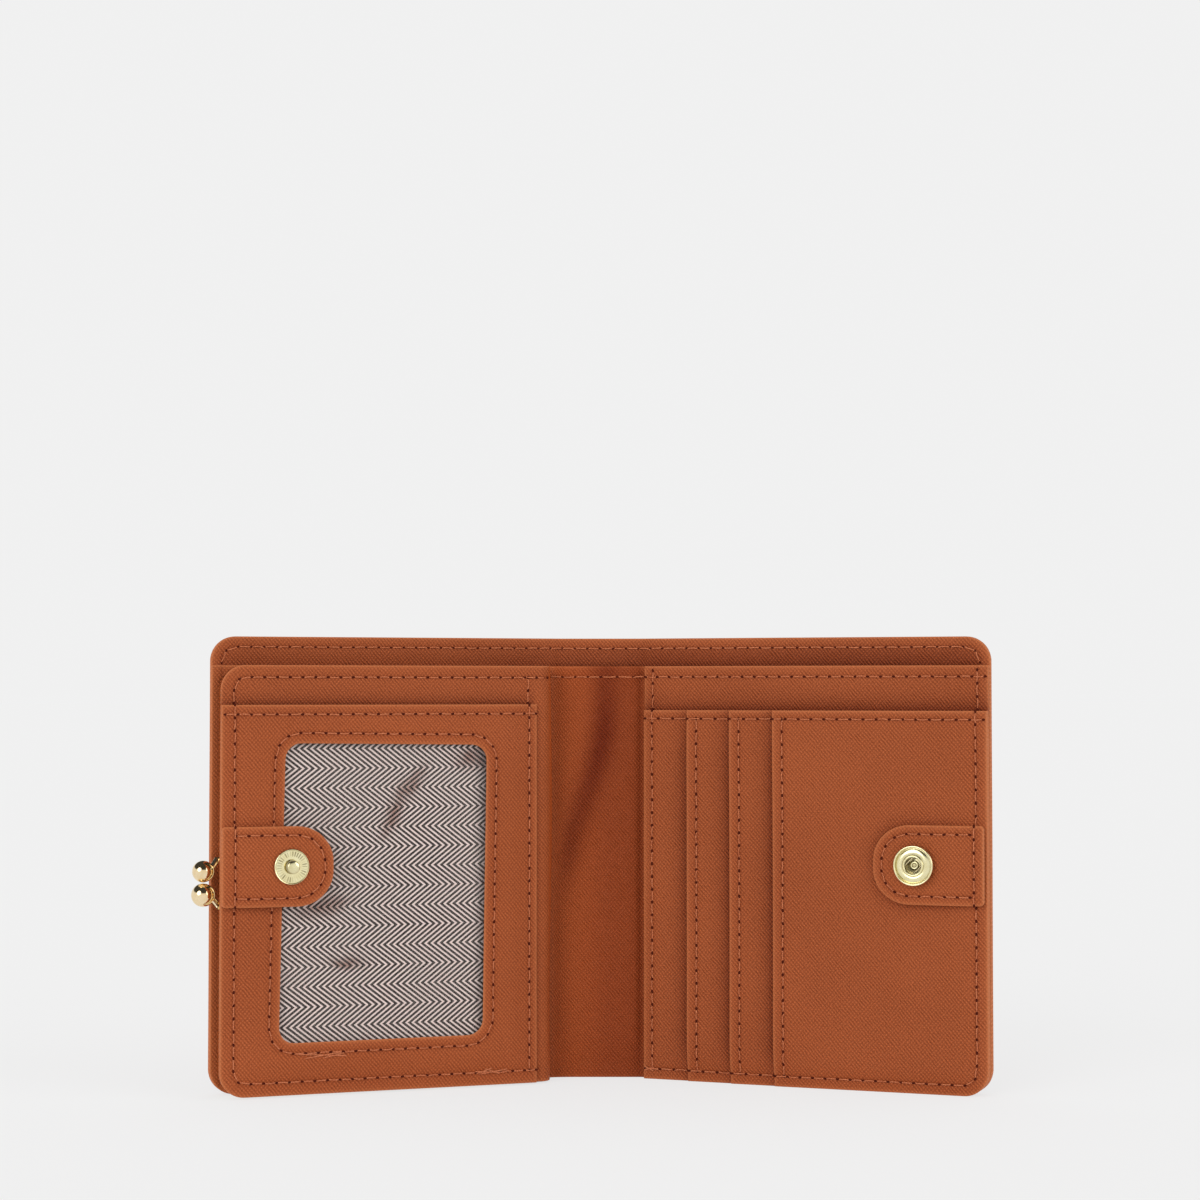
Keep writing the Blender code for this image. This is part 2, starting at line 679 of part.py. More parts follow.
def make_gusset(name, flip):
    """A pleat of cloth, held in the grooves of both frame arms and folded into the purse."""
    back = (FRAME_BACK[0] + FRAME_BACK[1]) / 2
    front = (FRAME_FRONT[0] + FRAME_FRONT[1]) / 2
    lip = FRAME_TOP - FRAME_DEPTH
    line = [(back, lip + GUSSET_SEAT), (back, lip - FRAME_WALL), (PIVOT_LEVEL, lip - GUSSET_DEPTH),
            (front, lip - FRAME_WALL), (front, lip + GUSSET_SEAT)]
    if flip:
        line = [(t, 2 * PURSE_MIDDLE - z) for t, z in line]
    gusset = flat_piece(name, [ribbon_outline(line, GUSSET_THICKNESS)], GUSSET_LENGTH)
    start = PIVOT_PLACE + EAR_REACH + EAR_NECK_RADIUS
    place(gusset, "back_half", "purse_cloth", u=start + GUSSET_LENGTH / 2, t=0.0,
          rotation=(QUARTER, 0.0, -QUARTER))


def make_id_pocket():
    lining = panel_outline(LEFT, ID_PANEL_START + WINDOW_LINING_INSET,
                           PURSE_EDGE - WINDOW_LINING_INSET, PURSE_BOTTOM + WINDOW_LINING_INSET,
                           ID_PANEL_TOP - WINDOW_LINING_INSET,
                           outer_bottom=CORNER_RADIUS - WINDOW_LINING_INSET)
    sheet("window_lining", "purse_front", "herringbone", WINDOW_LINING, [lining])
    window_end = PURSE_EDGE - WINDOW_OUTER_BORDER
    window_top = ID_PANEL_TOP - WINDOW_TOP_BORDER
    radius = WINDOW_RADIUS + FILM_BORDER
    film = panel_outline(LEFT, WINDOW_START - FILM_BORDER, window_end + FILM_BORDER,
                         WINDOW_BOTTOM - FILM_BORDER, window_top + FILM_BORDER,
                         outer_bottom=radius, outer_top=radius, inner=radius)
    sheet("window_film", "purse_front", "film", FILM, [film])
    window = panel_outline(LEFT, WINDOW_START, window_end, WINDOW_BOTTOM, window_top,
                           outer_bottom=WINDOW_RADIUS, outer_top=WINDOW_RADIUS, inner=WINDOW_RADIUS)
    panel = panel_outline(LEFT, ID_PANEL_START, PURSE_EDGE, PURSE_BOTTOM, ID_PANEL_TOP,
                          outer_bottom=CORNER_RADIUS)
    sheet("id_pocket_panel", "purse_front", "leather", ID_PANEL, [panel, window])


# Strap tabs and snap

def make_tab(prefix, body, side, backing, face):
    low = TAB_HEIGHT - TAB_WIDTH / 2
    high = TAB_HEIGHT + TAB_WIDTH / 2
    outline = panel_outline(side, TAB_TIP, TAB_EDGE, low, high, outer_bottom=TAB_ROOT_RADIUS,
                            outer_top=TAB_ROOT_RADIUS, inner=TAB_END_RADIUS)
    snap = (side * SNAP_PLACE, TAB_HEIGHT)
    shank_hole = arc(snap, SNAP_SHANK_RADIUS + CLEARANCE, 0.0, 2 * HALF_TURN, TURN_STEPS)[:-1]
    cap_hole = arc(snap, SNAP_CAP_RADIUS + CLEARANCE, 0.0, 2 * HALF_TURN, TURN_STEPS)[:-1]
    sheet(prefix + "_tab_backing", body, "leather", backing, [outline, cap_hole])
    sheet(prefix + "_tab_face", body, "leather", face, [outline, shank_hole])


def on_tab(piece, body, level, turn=0.0):
    place(piece, body, "gold", u=SNAP_PLACE, t=level, z=TAB_HEIGHT, rotation=(QUARTER, turn, 0.0))


def shank_profile():
    """Under the tab's face: the hollow shank that the cap's pin goes into."""
    bore = SNAP_PIN_RADIUS + CLEARANCE
    end = -TAB_FACE_THICKNESS + SNAP_CAP_ROUND - CLEARANCE / 2
    return [(SNAP_SHANK_RADIUS, CLEARANCE), (SNAP_SHANK_RADIUS, end), (bore, end),
            (bore, SNAP_SHANK_REACH - CLEARANCE), (0.0, SNAP_SHANK_REACH - CLEARANCE)]


def stud_profile():
    flange = CLEARANCE + STUD_FLANGE_HEIGHT
    neck = flange + STUD_NECK_HEIGHT
    head = neck + STUD_HEAD_HEIGHT
    crown = STUD_HEAD_HEIGHT / 2
    rim = STUD_FLANGE_RADIUS - STUD_RIM_WIDTH
    dome = [(STUD_HEAD_RADIUS * math.sin(QUARTER * step / CORNER_STEPS),
             head - crown + crown * math.cos(QUARTER * step / CORNER_STEPS))
            for step in range(CORNER_STEPS + 1)]
    return dome + [(STUD_NECK_RADIUS, neck), (STUD_NECK_RADIUS, flange + STUD_RIM_HEIGHT),
                   (STUD_NECK_RADIUS + STUD_RIM_HEIGHT, flange), (rim, flange),
                   (rim + STUD_RIM_WIDTH / 3, flange + STUD_RIM_HEIGHT),
                   (rim + STUD_RIM_WIDTH * 2 / 3, flange + STUD_RIM_HEIGHT),
                   (STUD_FLANGE_RADIUS, flange - STUD_RIM_HEIGHT),
                   (STUD_FLANGE_RADIUS, CLEARANCE + STUD_RIM_HEIGHT),
                   (rim + STUD_RIM_WIDTH / 2, CLEARANCE)] + shank_profile()


def socket_profile():
    top = CLEARANCE + SOCKET_HEIGHT
    groove_top = top - SOCKET_LIP
    groove_low = groove_top - SOCKET_GROOVE_HEIGHT
    lip_edge = SOCKET_BORE_RADIUS + SOCKET_LIP_WIDTH
    rim = SOCKET_RADIUS - SOCKET_RIM_WIDTH
    soft = SOCKET_LIP / 3
    floor = CLEARANCE + SOCKET_FLOOR - soft
    return [(0.0, floor), (SOCKET_BORE_RADIUS, floor), (SOCKET_BORE_RADIUS, groove_low),
            (SOCKET_GROOVE_RADIUS, groove_low), (SOCKET_GROOVE_RADIUS, groove_top),
            (SOCKET_BORE_RADIUS, groove_top), (SOCKET_BORE_RADIUS, top - soft),
            (SOCKET_BORE_RADIUS + soft, top), (lip_edge, top), (lip_edge + soft, top - soft),
            (SOCKET_DISH_RADIUS - soft, top - soft), (SOCKET_DISH_RADIUS, top - SOCKET_DISH_DEPTH),
            (rim - soft, top - SOCKET_DISH_DEPTH + soft), (rim, top - soft), (rim + soft, top),
            (SOCKET_RADIUS - soft, top), (SOCKET_RADIUS, top - soft * 2),
            (SOCKET_RADIUS, CLEARANCE + SOCKET_RIM_WIDTH),
            (SOCKET_RADIUS - SOCKET_RIM_WIDTH, CLEARANCE)] + shank_profile()


def make_cap(name, body, face):
    """The round cap behind the tab's face, with the pin that goes up into the shank."""
    top = -TAB_FACE_THICKNESS - CLEARANCE - SNAP_CAP_ROUND / 2
    low = top - SNAP_CAP_THICKNESS
    tip = top + SNAP_PIN_LENGTH
    edge = SNAP_CAP_RADIUS - SNAP_CAP_ROUND
    profile = [(0.0, tip), (SNAP_PIN_RADIUS - SNAP_CAP_ROUND, tip),
               (SNAP_PIN_RADIUS, tip - SNAP_CAP_ROUND), (SNAP_PIN_RADIUS, top), (edge, top),
               (SNAP_CAP_RADIUS, top - SNAP_CAP_ROUND), (SNAP_CAP_RADIUS, low + SNAP_CAP_ROUND),
               (edge, low), (0.0, low)]
    on_tab(turned_piece(name, profile), body, face[1])


def make_socket_spring():
    """A hairpin of wire in the socket's groove, whose two legs cross the bore."""
    bend = SPRING_LEG_REACH - SPRING_LEG_OFFSET
    points = [(-SPRING_LEG_REACH, SPRING_LEG_OFFSET, 0.0)]
    for x, y in arc((bend, 0.0), SPRING_LEG_OFFSET, QUARTER, -QUARTER, 2 * CORNER_STEPS):
        points.append((x, y, 0.0))
    points.append((-SPRING_LEG_REACH, -SPRING_LEG_OFFSET, 0.0))
    spring = wire_piece("socket_spring", points, SPRING_WIRE_RADIUS)
    middle = CLEARANCE + SOCKET_HEIGHT - SOCKET_LIP - SOCKET_GROOVE_HEIGHT / 2
    on_tab(spring, "socket_tab", SOCKET_FACE[1] + middle, SPRING_TURN)


def make_tabs():
    make_tab("stud", "stud_tab", LEFT, STUD_BACKING, STUD_FACE)
    on_tab(turned_piece("snap_stud", stud_profile()), "stud_tab", STUD_FACE[1])
    make_cap("snap_stud_cap", "stud_tab", STUD_FACE)
    make_tab("socket", "socket_tab", RIGHT, SOCKET_BACKING, SOCKET_FACE)
    on_tab(turned_piece("snap_socket", socket_profile()), "socket_tab", SOCKET_FACE[1])
    make_cap("snap_socket_cap", "socket_tab", SOCKET_FACE)
    make_socket_spring()


# Whole wallet

def settle_origin():
    """Move the wallet so that its origin is under the middle of its bounding box."""
    bpy.context.view_layer.update()
    graph = bpy.context.evaluated_depsgraph_get()
    corners = []
    for obj in collections["compact_wallet"].objects:
        if obj.type == "EMPTY":
            continue
        evaluated = obj.evaluated_get(graph)
        mesh = evaluated.to_mesh()
        corners += [evaluated.matrix_world @ vertex.co for vertex in mesh.vertices]
        evaluated.to_mesh_clear()
    middle = [(min(c[axis] for c in corners) + max(c[axis] for c in corners)) / 2 for axis in (0, 1)]
    bodies["back_half"]["empty"].location = (-middle[0], -middle[1], 0.0)
    bpy.context.view_layer.update()


def build_wallet():
    clear_scene()
    make_collections()
    make_materials()
    make_bodies()
    for suffix, body, side in (("left", "back_half", LEFT), ("right", "front_half", RIGHT)):
        make_cover_half("cover_" + suffix, body, side)
        make_board("cover_board_" + suffix, body, side)
        make_cover_linings(suffix, body, side)
    make_spine()
    make_card_panels()
    make_purse_frame()
    make_purse_walls()
    make_purse_fold()
    make_gusset("purse_gusset_top", False)
    make_gusset("purse_gusset_bottom", True)
    make_id_pocket()
    make_tabs()
    settle_origin()


build_wallet()
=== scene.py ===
import json
import math

import bmesh
import bpy
import numpy as np
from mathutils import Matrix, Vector
from mathutils.bvhtree import BVHTree


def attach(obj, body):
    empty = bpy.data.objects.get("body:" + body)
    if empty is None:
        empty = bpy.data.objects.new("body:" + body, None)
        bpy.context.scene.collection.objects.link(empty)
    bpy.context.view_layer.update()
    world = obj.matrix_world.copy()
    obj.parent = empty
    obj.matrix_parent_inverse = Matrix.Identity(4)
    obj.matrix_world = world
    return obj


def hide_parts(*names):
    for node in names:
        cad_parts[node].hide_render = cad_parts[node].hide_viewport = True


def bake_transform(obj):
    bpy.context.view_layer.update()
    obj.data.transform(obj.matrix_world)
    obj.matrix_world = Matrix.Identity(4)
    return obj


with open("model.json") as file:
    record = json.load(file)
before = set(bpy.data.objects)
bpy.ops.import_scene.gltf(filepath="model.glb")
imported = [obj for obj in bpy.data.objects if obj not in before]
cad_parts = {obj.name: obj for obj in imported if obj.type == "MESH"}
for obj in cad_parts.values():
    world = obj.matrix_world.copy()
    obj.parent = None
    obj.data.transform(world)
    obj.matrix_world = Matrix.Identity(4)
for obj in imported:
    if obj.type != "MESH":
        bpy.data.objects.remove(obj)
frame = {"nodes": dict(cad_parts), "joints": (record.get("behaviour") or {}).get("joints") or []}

mm = 0.001
joints = {joint["name"]: joint for joint in frame["joints"]}
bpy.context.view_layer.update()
print("wallet: frame loaded")


# Camera at the photograph's place, floor and light

camera = {"place": (-0.208, -0.591, 0.097), "heading": (0.3338, 0.9426), "pitch": 1.98, "lens": 78.2,
          "sensor": 36.0, "near": 0.01, "far": 100.0}
studio = {"horizonLight": 0.98, "zenithLight": 0.62, "lightRise": (0.0, 0.9),
          "backdrop": 0.875, "ceiling": 0.05, "backdropEnd": (0.28, 0.44),  # what shows, and what metal mirrors
          "floor": 0.985, "floorSize": 40.0, "floorLevel": -0.02 * mm, "shadowShare": 0.19,
          "lamps": (("left_lamp", 0.85, 40.0, (-1.0, -0.75, 0.55)), ("right_lamp", 0.6, 40.0, (0.9, -0.9, 0.5)))}


# One socket of a node tree, so that an expression on it adds the nodes
class Flow:
    def __init__(self, tree, socket=None):
        self.tree = tree
        self.socket = socket

    def add(self, kind, settings=None, inputs=None, output=0):
        node = self.tree.nodes.new(kind)
        for name, value in (settings or {}).items():
            setattr(node, name, value)
        for key, value in (inputs or {}).items():
            if isinstance(value, Flow):
                self.tree.links.new(value.socket, node.inputs[key])
            else:
                node.inputs[key].default_value = value
        return Flow(self.tree, node.outputs[output]) if node.outputs else Flow(self.tree)

    def other(self, output):
        return Flow(self.tree, self.socket.node.outputs[output])

    def math(self, operation, *values):
        return self.add("ShaderNodeMath", {"operation": operation}, dict(enumerate(values)))

    def __add__(self, value):
        return self.math("ADD", self, value)

    def __sub__(self, value):
        return self.math("SUBTRACT", self, value)

    def __rsub__(self, value):
        return self.math("SUBTRACT", value, self)

    def __mul__(self, value):
        return self.math("MULTIPLY", self, value)

    def __truediv__(self, value):
        return self.math("DIVIDE", self, value)

    def blend(self, first, second):
        return self.add("ShaderNodeMix", {"data_type": "RGBA"}, {0: self, 6: first, 7: second}, 2)

    def tint(self, colour, shade):
        settings = {"data_type": "RGBA", "blend_type": "MULTIPLY"}
        return self.add("ShaderNodeMix", settings, {0: self, 6: colour, 7: shade}, 2)

    def ramp(self, low, high):
        return self.add("ShaderNodeMapRange", {"interpolation_type": "SMOOTHSTEP"}, {0: self, 1: low, 2: high})


def rgb(red, green, blue):
    return red, green, blue, 1.0


def grey(value):
    return rgb(value, value, value)


def addObject(name, data):
    thing = bpy.data.objects.new(name, data)
    bpy.context.scene.collection.objects.link(thing)
    return thing


def setCamera():
    eye = addObject("wallet_camera", bpy.data.cameras.new("wallet_camera"))
    pitch = math.radians(camera["pitch"])
    level = Vector((*camera["heading"], 0.0)).normalized()
    aim = level * math.cos(pitch) + Vector((0.0, 0.0, math.sin(pitch)))
    eye.location = camera["place"]
    eye.rotation_euler = aim.to_track_quat("-Z", "Y").to_euler()
    eye.data.lens = camera["lens"]
    eye.data.sensor_width = camera["sensor"]
    eye.data.clip_start, eye.data.clip_end = camera["near"], camera["far"]
    bpy.context.scene.camera = eye


def addLamp(name, power, size, place):
    lamp = bpy.data.lights.new(name, "SUN")
    lamp.energy = power
    lamp.angle = math.radians(size)
    addObject(name, lamp).rotation_euler = Vector(place).to_track_quat("Z", "Y").to_euler()


def emptied(owner):
    owner.use_nodes = True
    owner.node_tree.nodes.clear()
    return Flow(owner.node_tree)


def seenRays(flow):  # what the camera sees itself, or in metal or through the film
    path = flow.add("ShaderNodeLightPath")
    return path.math("MAXIMUM", path.math("MAXIMUM", path, path.other("Is Glossy Ray")),
                     path.other("Is Transmission Ray"))


def setWorld():
    world = bpy.data.worlds.new("studio")
    start = emptied(world)
    height = start.add("ShaderNodeTexCoord", {}, {}, "Generated")
    height = start.add("ShaderNodeSeparateXYZ", {}, {0: height}, "Z")
    light = height.ramp(*studio["lightRise"]).blend(grey(studio["horizonLight"]), grey(studio["zenithLight"]))
    shown = height.ramp(*studio["backdropEnd"]).blend(grey(studio["backdrop"]), grey(studio["ceiling"]))
    glow = start.add("ShaderNodeBackground", {}, {"Color": seenRays(start).blend(light, shown), "Strength": 1.0})
    start.add("ShaderNodeOutputWorld", {}, {"Surface": glow})
    bpy.context.scene.world = world


def setFloor():
    mesh = bpy.data.meshes.new("studio_floor")
    work = bmesh.new()
    bmesh.ops.create_grid(work, x_segments=1, y_segments=1, size=studio["floorSize"] / 2)
    work.to_mesh(mesh)
    work.free()
    floor = addObject("studio_floor", mesh)
    floor.location.z = studio["floorLevel"]
    paper = bpy.data.materials.new("floor_paper")
    start = emptied(paper)
    lit = start.add("ShaderNodeBsdfDiffuse", {}, {"Color": grey(studio["floor"])})
    glow = start.add("ShaderNodeEmission", {}, {"Color": grey(studio["backdrop"]), "Strength": 1.0})
    plain = seenRays(start) * (1.0 - studio["shadowShare"])
    mixed = start.add("ShaderNodeMixShader", {}, {0: plain, 1: lit, 2: glow})
    start.add("ShaderNodeOutputMaterial", {}, {"Surface": mixed})
    mesh.materials.append(paper)


def setStudio():
    setWorld()
    for lamp in studio["lamps"]:
        addLamp(*lamp)
    setFloor()
    bpy.context.scene.view_settings.view_transform = "Standard"


def makeMaterial(name, build, constants):
    material = bpy.data.materials.new(name)
    material.use_nodes = True
    tree = material.node_tree
    shader = tree.nodes["Principled BSDF"]
    for socket, value in constants.items():
        shader.inputs[socket].default_value = value
    for socket, flow in build(Flow(tree)).items():
        tree.links.new(flow.socket, shader.inputs[socket])
    return material


# Finishes. Patterns are in mm on leather and cloth, which have a flat map of their own, and in metres elsewhere.

# Of the leather's colours, the light edge colour is a painted highlight, the dark tint is painted shade, and the orange
# one is painted light, as if bounced off nearby leather
leatherLook = {"low": rgb(0.172, 0.0305, 0.0065), "high": rgb(0.50, 0.125, 0.038), "rim": rgb(0.62, 0.21, 0.080),
               "paintedShade": rgb(0.44, 0.28, 0.24), "glow": rgb(0.50, 0.085, 0.008), "across": 0.93, "up": 1.07,
               "wander": 0.5, "speck": 1.15, "contrast": 0.62, "clouds": 0.30, "sewnShade": 0.22, "rimShare": 0.7,
               "rough": 0.60, "gloss": 0.16, "depth": 0.10 * mm}
clothLook = {"light": rgb(0.77, 0.637, 0.59), "dark": rgb(0.021, 0.012, 0.010), "pitch": 1.59, "row": 4.75,
             "lean": 1.29, "shift": 2.55, "wander": 0.22, "threads": (0.36, 0.42), "depth": 0.04 * mm,
             # The edge tint is a painted shadow along the window's right and top edges
             "edge": rgb(0.34, 0.31, 0.31), "edgeShadowShare": 0.75, "edgeShadowSide": (25.6, 21.6), "edgeShadowTop": (82.4, 84.8),
             # The crease tint is painted shade, in patches as if the cloth were creased, and under the strap tab
             "crease": rgb(0.40, 0.225, 0.17), "creaseShadeShare": 0.95,
             "creases": ((41.0, 73.6, -52.0, 7.0, 2.8), (45.4, 66.6, -66.0, 6.5, 2.6), (24.5, 80.5, -15.0, 6.0, 3.2),
                         (62.0, 44.9, -14.6, 7.5, 2.6), (56.5, 31.4, 5.0, 5.5, 2.0))}  # across, up, lean, long, wide
purseLook = {"dark": rgb(0.16, 0.105, 0.075), "light": rgb(0.34, 0.24, 0.18), "pitch": 1.1, "wander": 0.9,
             "weave": 0.16, "clouds": 0.6, "depth": 0.05 * mm}
filmLook = {"clear": rgb(0.6, 0.6, 0.6), "haze": rgb(0.5, 0.47, 0.44), "least": 0.02, "veil": 0.03, "depth": 0.3 * mm}
threadLook = {"colour": rgb(0.68, 0.24, 0.11), "shade": rgb(0.33, 0.07, 0.022), "depth": 0.04 * mm,
              # The needle hole colours are painted shade inside the holes
              "hole": rgb(0.10, 0.013, 0.005), "holeDark": rgb(0.04, 0.005, 0.002)}
metalLook = {"tarnish": rgb(0.16, 0.12, 0.07), "depth": 0.01 * mm}
boardLook = {"dark": rgb(0.28, 0.25, 0.21), "light": rgb(0.46, 0.42, 0.36), "depth": 0.05 * mm}


def softNoise(place, scale, detail=2.0):
    return place.add("ShaderNodeTexNoise", {}, {"Vector": place, "Scale": scale, "Detail": detail})


def wave(value, length):
    return value.math("SINE", value * (2 * math.pi / length))


def marked(flow, mark):  # a value that the sheet's points carry
    return flow.add("ShaderNodeAttribute", {"attribute_name": mark}, {}, "Fac")


def bumpFrom(height, strength, distance):
    return height.add("ShaderNodeBump", {}, {"Strength": strength, "Distance": distance, "Height": height})


def grainPlace(flow):
    place = flow.add("ShaderNodeUVMap", {"uv_map": "grain"})
    parts = place.add("ShaderNodeSeparateXYZ", {}, {0: place})
    return place, parts, parts.other("Y")


def objectPlace(flow):
    return flow.add("ShaderNodeTexCoord", {}, {}, "Object")


def tanLeather(flow):
    look = leatherLook
    place, x, z = grainPlace(flow)
    bent = (x + (softNoise(place, 0.5) - 0.5) * look["wander"]) * (2 * math.pi / look["across"])
    raised = (z + (softNoise(place, 0.4) - 0.5) * look["wander"]) * (2 * math.pi / look["up"])
    falling = x.math("SINE", bent + raised)
    rising = x.math("SINE", bent - raised)
    patch = softNoise(place, 0.45).ramp(0.3, 0.7)
    speck = softNoise(place, 2.2, 3.0) - 0.5
    paintedShade, rim, sewn, glow = (marked(flow, mark) for mark in ("paintedShade", "rim", "sewn", "glow"))
    lines = falling * (patch * 0.28 + 0.18) + rising * (0.27 - patch * 0.16) + falling * rising * 0.18
    # Where painted shade lies, the grain's lines stand out more, as under raking light
    height = lines * (paintedShade * 1.2 + 1.0) + speck * look["speck"] + 0.5
    broad = (softNoise(place, 0.03) - 0.5) * look["clouds"]
    # Seam grooves are darkened as painted shade. Cut edges get a painted highlight, glow marks add painted bounce
    # light, and shade marks take the dark tint as painted shade
    level = height * look["contrast"] + broad + (1.0 - look["contrast"]) / 2 - sewn * look["sewnShade"]
    colour = (rim * look["rimShare"]).blend(level.blend(look["low"], look["high"]), look["rim"])
    colour = paintedShade.tint(glow.blend(colour, look["glow"]), look["paintedShade"])
    return {"Base Color": colour, "Roughness": look["rough"] - height * look["gloss"],
            "Normal": bumpFrom(height * (1.0 - rim * 0.8), 1.0, look["depth"])}


def creaseShade(place, x, z, crease):
    across, up, lean, long, wide = crease
    turn = math.radians(lean)
    along = (x - across) * math.cos(turn) + (z - up) * math.sin(turn)
    beside = (z - up) * math.cos(turn) - (x - across) * math.sin(turn) + (softNoise(place, 0.2) - 0.5) * wide
    away = along * along / long ** 2 + beside * beside / wide ** 2
    return away.math("SQRT", away).ramp(1.35, 0.0)


def herringbone(flow):
    look = clothLook
    place, x, z = grainPlace(flow)
    zig = z.math("PINGPONG", z + look["shift"], look["row"])
    stripe = wave(x + zig * look["lean"] + (softNoise(place, 3.0) - 0.5) * look["wander"], look["pitch"])
    mask = stripe.ramp(0.02, 0.46)
    yarn = wave(z, look["threads"][0]) * wave(x, look["threads"][1]) * 0.5 + 0.5
    tone = mask * 0.9 + yarn * 0.07 + (softNoise(place, 1.4) - 0.5) * 0.16
    # Patches of painted shade, as if the cloth were creased, and under the strap tab
    shade = creaseShade(place, x, z, look["creases"][0])
    for crease in look["creases"][1:]:
        shade = shade.math("MAXIMUM", shade, creaseShade(place, x, z, crease))
    shade = shade * (softNoise(place, 0.35).ramp(0.25, 0.7) * 0.5 + 0.5) * look["creaseShadeShare"]
    # A painted shadow along the window's right and top edges
    border = x.math("MAXIMUM", x.ramp(*look["edgeShadowSide"]), z.ramp(*look["edgeShadowTop"]) * 0.6) * look["edgeShadowShare"]
    colour = border.tint(shade.tint(tone.blend(look["dark"], look["light"]), look["crease"]), look["edge"])
    return {"Base Color": colour, "Normal": bumpFrom(mask + yarn * 0.6, 0.6, look["depth"])}


def plainCloth(flow):
    look = purseLook
    place, x, z = grainPlace(flow)
    slub = (softNoise(place, 0.6) - 0.5) * look["wander"]  # the yarn wanders, so that no rings show from afar
    weave = wave(z + slub, look["pitch"]) * wave(x + slub, look["pitch"])
    tone = weave * look["weave"] + (softNoise(place, 0.5) - 0.5) * look["clouds"] + 0.5
    return {"Base Color": tone.blend(look["dark"], look["light"]), "Normal": bumpFrom(weave, 0.45, look["depth"])}


def clearFilm(flow):
    place = grainPlace(flow)[0]
    veil = softNoise(place, 0.06).ramp(0.35, 0.7)
    return {"Base Color": veil.blend(filmLook["clear"], filmLook["haze"]),
            "Alpha": veil * filmLook["veil"] + filmLook["least"],
            "Normal": bumpFrom(softNoise(place, 0.05), 0.5, filmLook["depth"])}


def sewingThread(flow):
    fibre = softNoise(objectPlace(flow), 5200.0)
    return {"Base Color": fibre.ramp(0.3, 0.7).blend(threadLook["shade"], threadLook["colour"]),
            "Normal": bumpFrom(fibre, 0.7, threadLook["depth"])}


def needleHoleShade(flow):
    return {"Base Color": softNoise(objectPlace(flow), 3000.0).blend(threadLook["holeDark"], threadLook["hole"])}


def metalFinish(low, high, rough, scratch):
    def build(flow):
        place = objectPlace(flow)
        cloud = softNoise(place, 700.0, 3.0)
        worn = marked(flow, "patina")
        return {"Base Color": worn.tint(cloud.ramp(0.3, 0.7).blend(low, high), metalLook["tarnish"]),
                "Roughness": cloud * 0.08 + worn * 0.25 + rough,
                "Normal": bumpFrom(softNoise(place, 9000.0), scratch, metalLook["depth"])}
    return build


def fibreBoard(flow):
    fibre = softNoise(objectPlace(flow), 1500.0, 4.0)
    return {"Base Color": fibre.blend(boardLook["dark"], boardLook["light"]),
            "Normal": bumpFrom(fibre, 0.5, boardLook["depth"])}


leather = makeMaterial("tan_grained_leather", tanLeather, {"Specular IOR Level": 0.13})
windowCloth = makeMaterial("herringbone_cloth", herringbone, {"Roughness": 0.8, "Specular IOR Level": 0.2})
purseCloth = makeMaterial("brown_lining_cloth", plainCloth, {"Roughness": 0.9, "Specular IOR Level": 0.2})
film = makeMaterial("clear_film", clearFilm, {"Roughness": 0.12})
thread = makeMaterial("tan_thread", sewingThread, {"Roughness": 0.6, "Specular IOR Level": 0.15})
holeShadeFinish = makeMaterial("needle_hole_shade", needleHoleShade, {"Roughness": 0.9, "Specular IOR Level": 0.1})
gold = makeMaterial("pale_gold", metalFinish(rgb(0.86, 0.66, 0.38), rgb(0.93, 0.76, 0.50), 0.05, 0.05),
                    {"Metallic": 1.0})
champagne = makeMaterial("champagne_plate", metalFinish(rgb(0.88, 0.79, 0.45), rgb(0.97, 0.90, 0.56), 0.12, 0.1),
                         {"Metallic": 1.0})
wire = makeMaterial("spring_wire", metalFinish(rgb(0.50, 0.42, 0.24), rgb(0.62, 0.53, 0.32), 0.2, 0.1),
                    {"Metallic": 1.0})
board = makeMaterial("stiffening_board", fibreBoard, {"Roughness": 0.95})
setCamera()
setStudio()
print("wallet: camera, light and finishes set")


# Places on the wallet. u runs outwards from a crease, s from the left crease over the spine, z up, and t from the back
# of the cover to its inside.

wallet = {"halfWidth": 88.0 * mm, "height": 110.0 * mm, "spine": 23.0 * mm, "corner": 6.0 * mm,
          "dividerTop": 103.0 * mm, "cardTop": 92.0 * mm, "creaseLevel": 0.55 * mm, "fold": math.radians(19.5),
          "creaseReach": 2.4 * mm, "edgeRound": 0.45, "step": 1.35 * mm, "ripple": 0.05 * mm,
          "ripples": (11.0 * mm, 23.0 * mm, 9.0 * mm, 27.0 * mm), "foldStep": 0.1}
pointSteps = {"edge": (0.03, 0.10, 0.20, 0.34, 0.6, 1.0), "mark": (-0.8, -0.4, -0.15, 0.15, 0.4, 0.8),
              "least": 0.024 * mm, "cornerAngles": range(8, 90, 8)}  # where a sheet's points lie closer
leftCrease = joints["left_crease"]["pos_m"]
rightCrease = joints["right_crease"]["pos_m"]


def smooth(share):
    share = np.clip(share, 0.0, 1.0)
    return share * share * (3.0 - 2.0 * share)


def ripple(u, z):
    first, second, third, fourth = wallet["ripples"]
    return wallet["ripple"] * (np.sin(u / first + z / second) + np.sin(z / third - u / fourth + 1.3))


def halfPlace(crease, along, inward):
    def place(u, z, t):
        t = t + ripple(u, z) - wallet["creaseLevel"]
        return np.stack([crease[0] + along[0] * u + inward[0] * t, crease[1] + along[1] * u + inward[1] * t,
                         z + 0.0 * u], axis=-1)
    return place


bothFolds = 2 * wallet["fold"]
onLeft = halfPlace(leftCrease, (-1.0, 0.0), (0.0, -1.0))
onRight = halfPlace(rightCrease, (math.cos(bothFolds), -math.sin(bothFolds)),
                    (-math.sin(bothFolds), -math.cos(bothFolds)))
facingLeft = [onLeft]  # their u runs to the left, so the grain is turned round


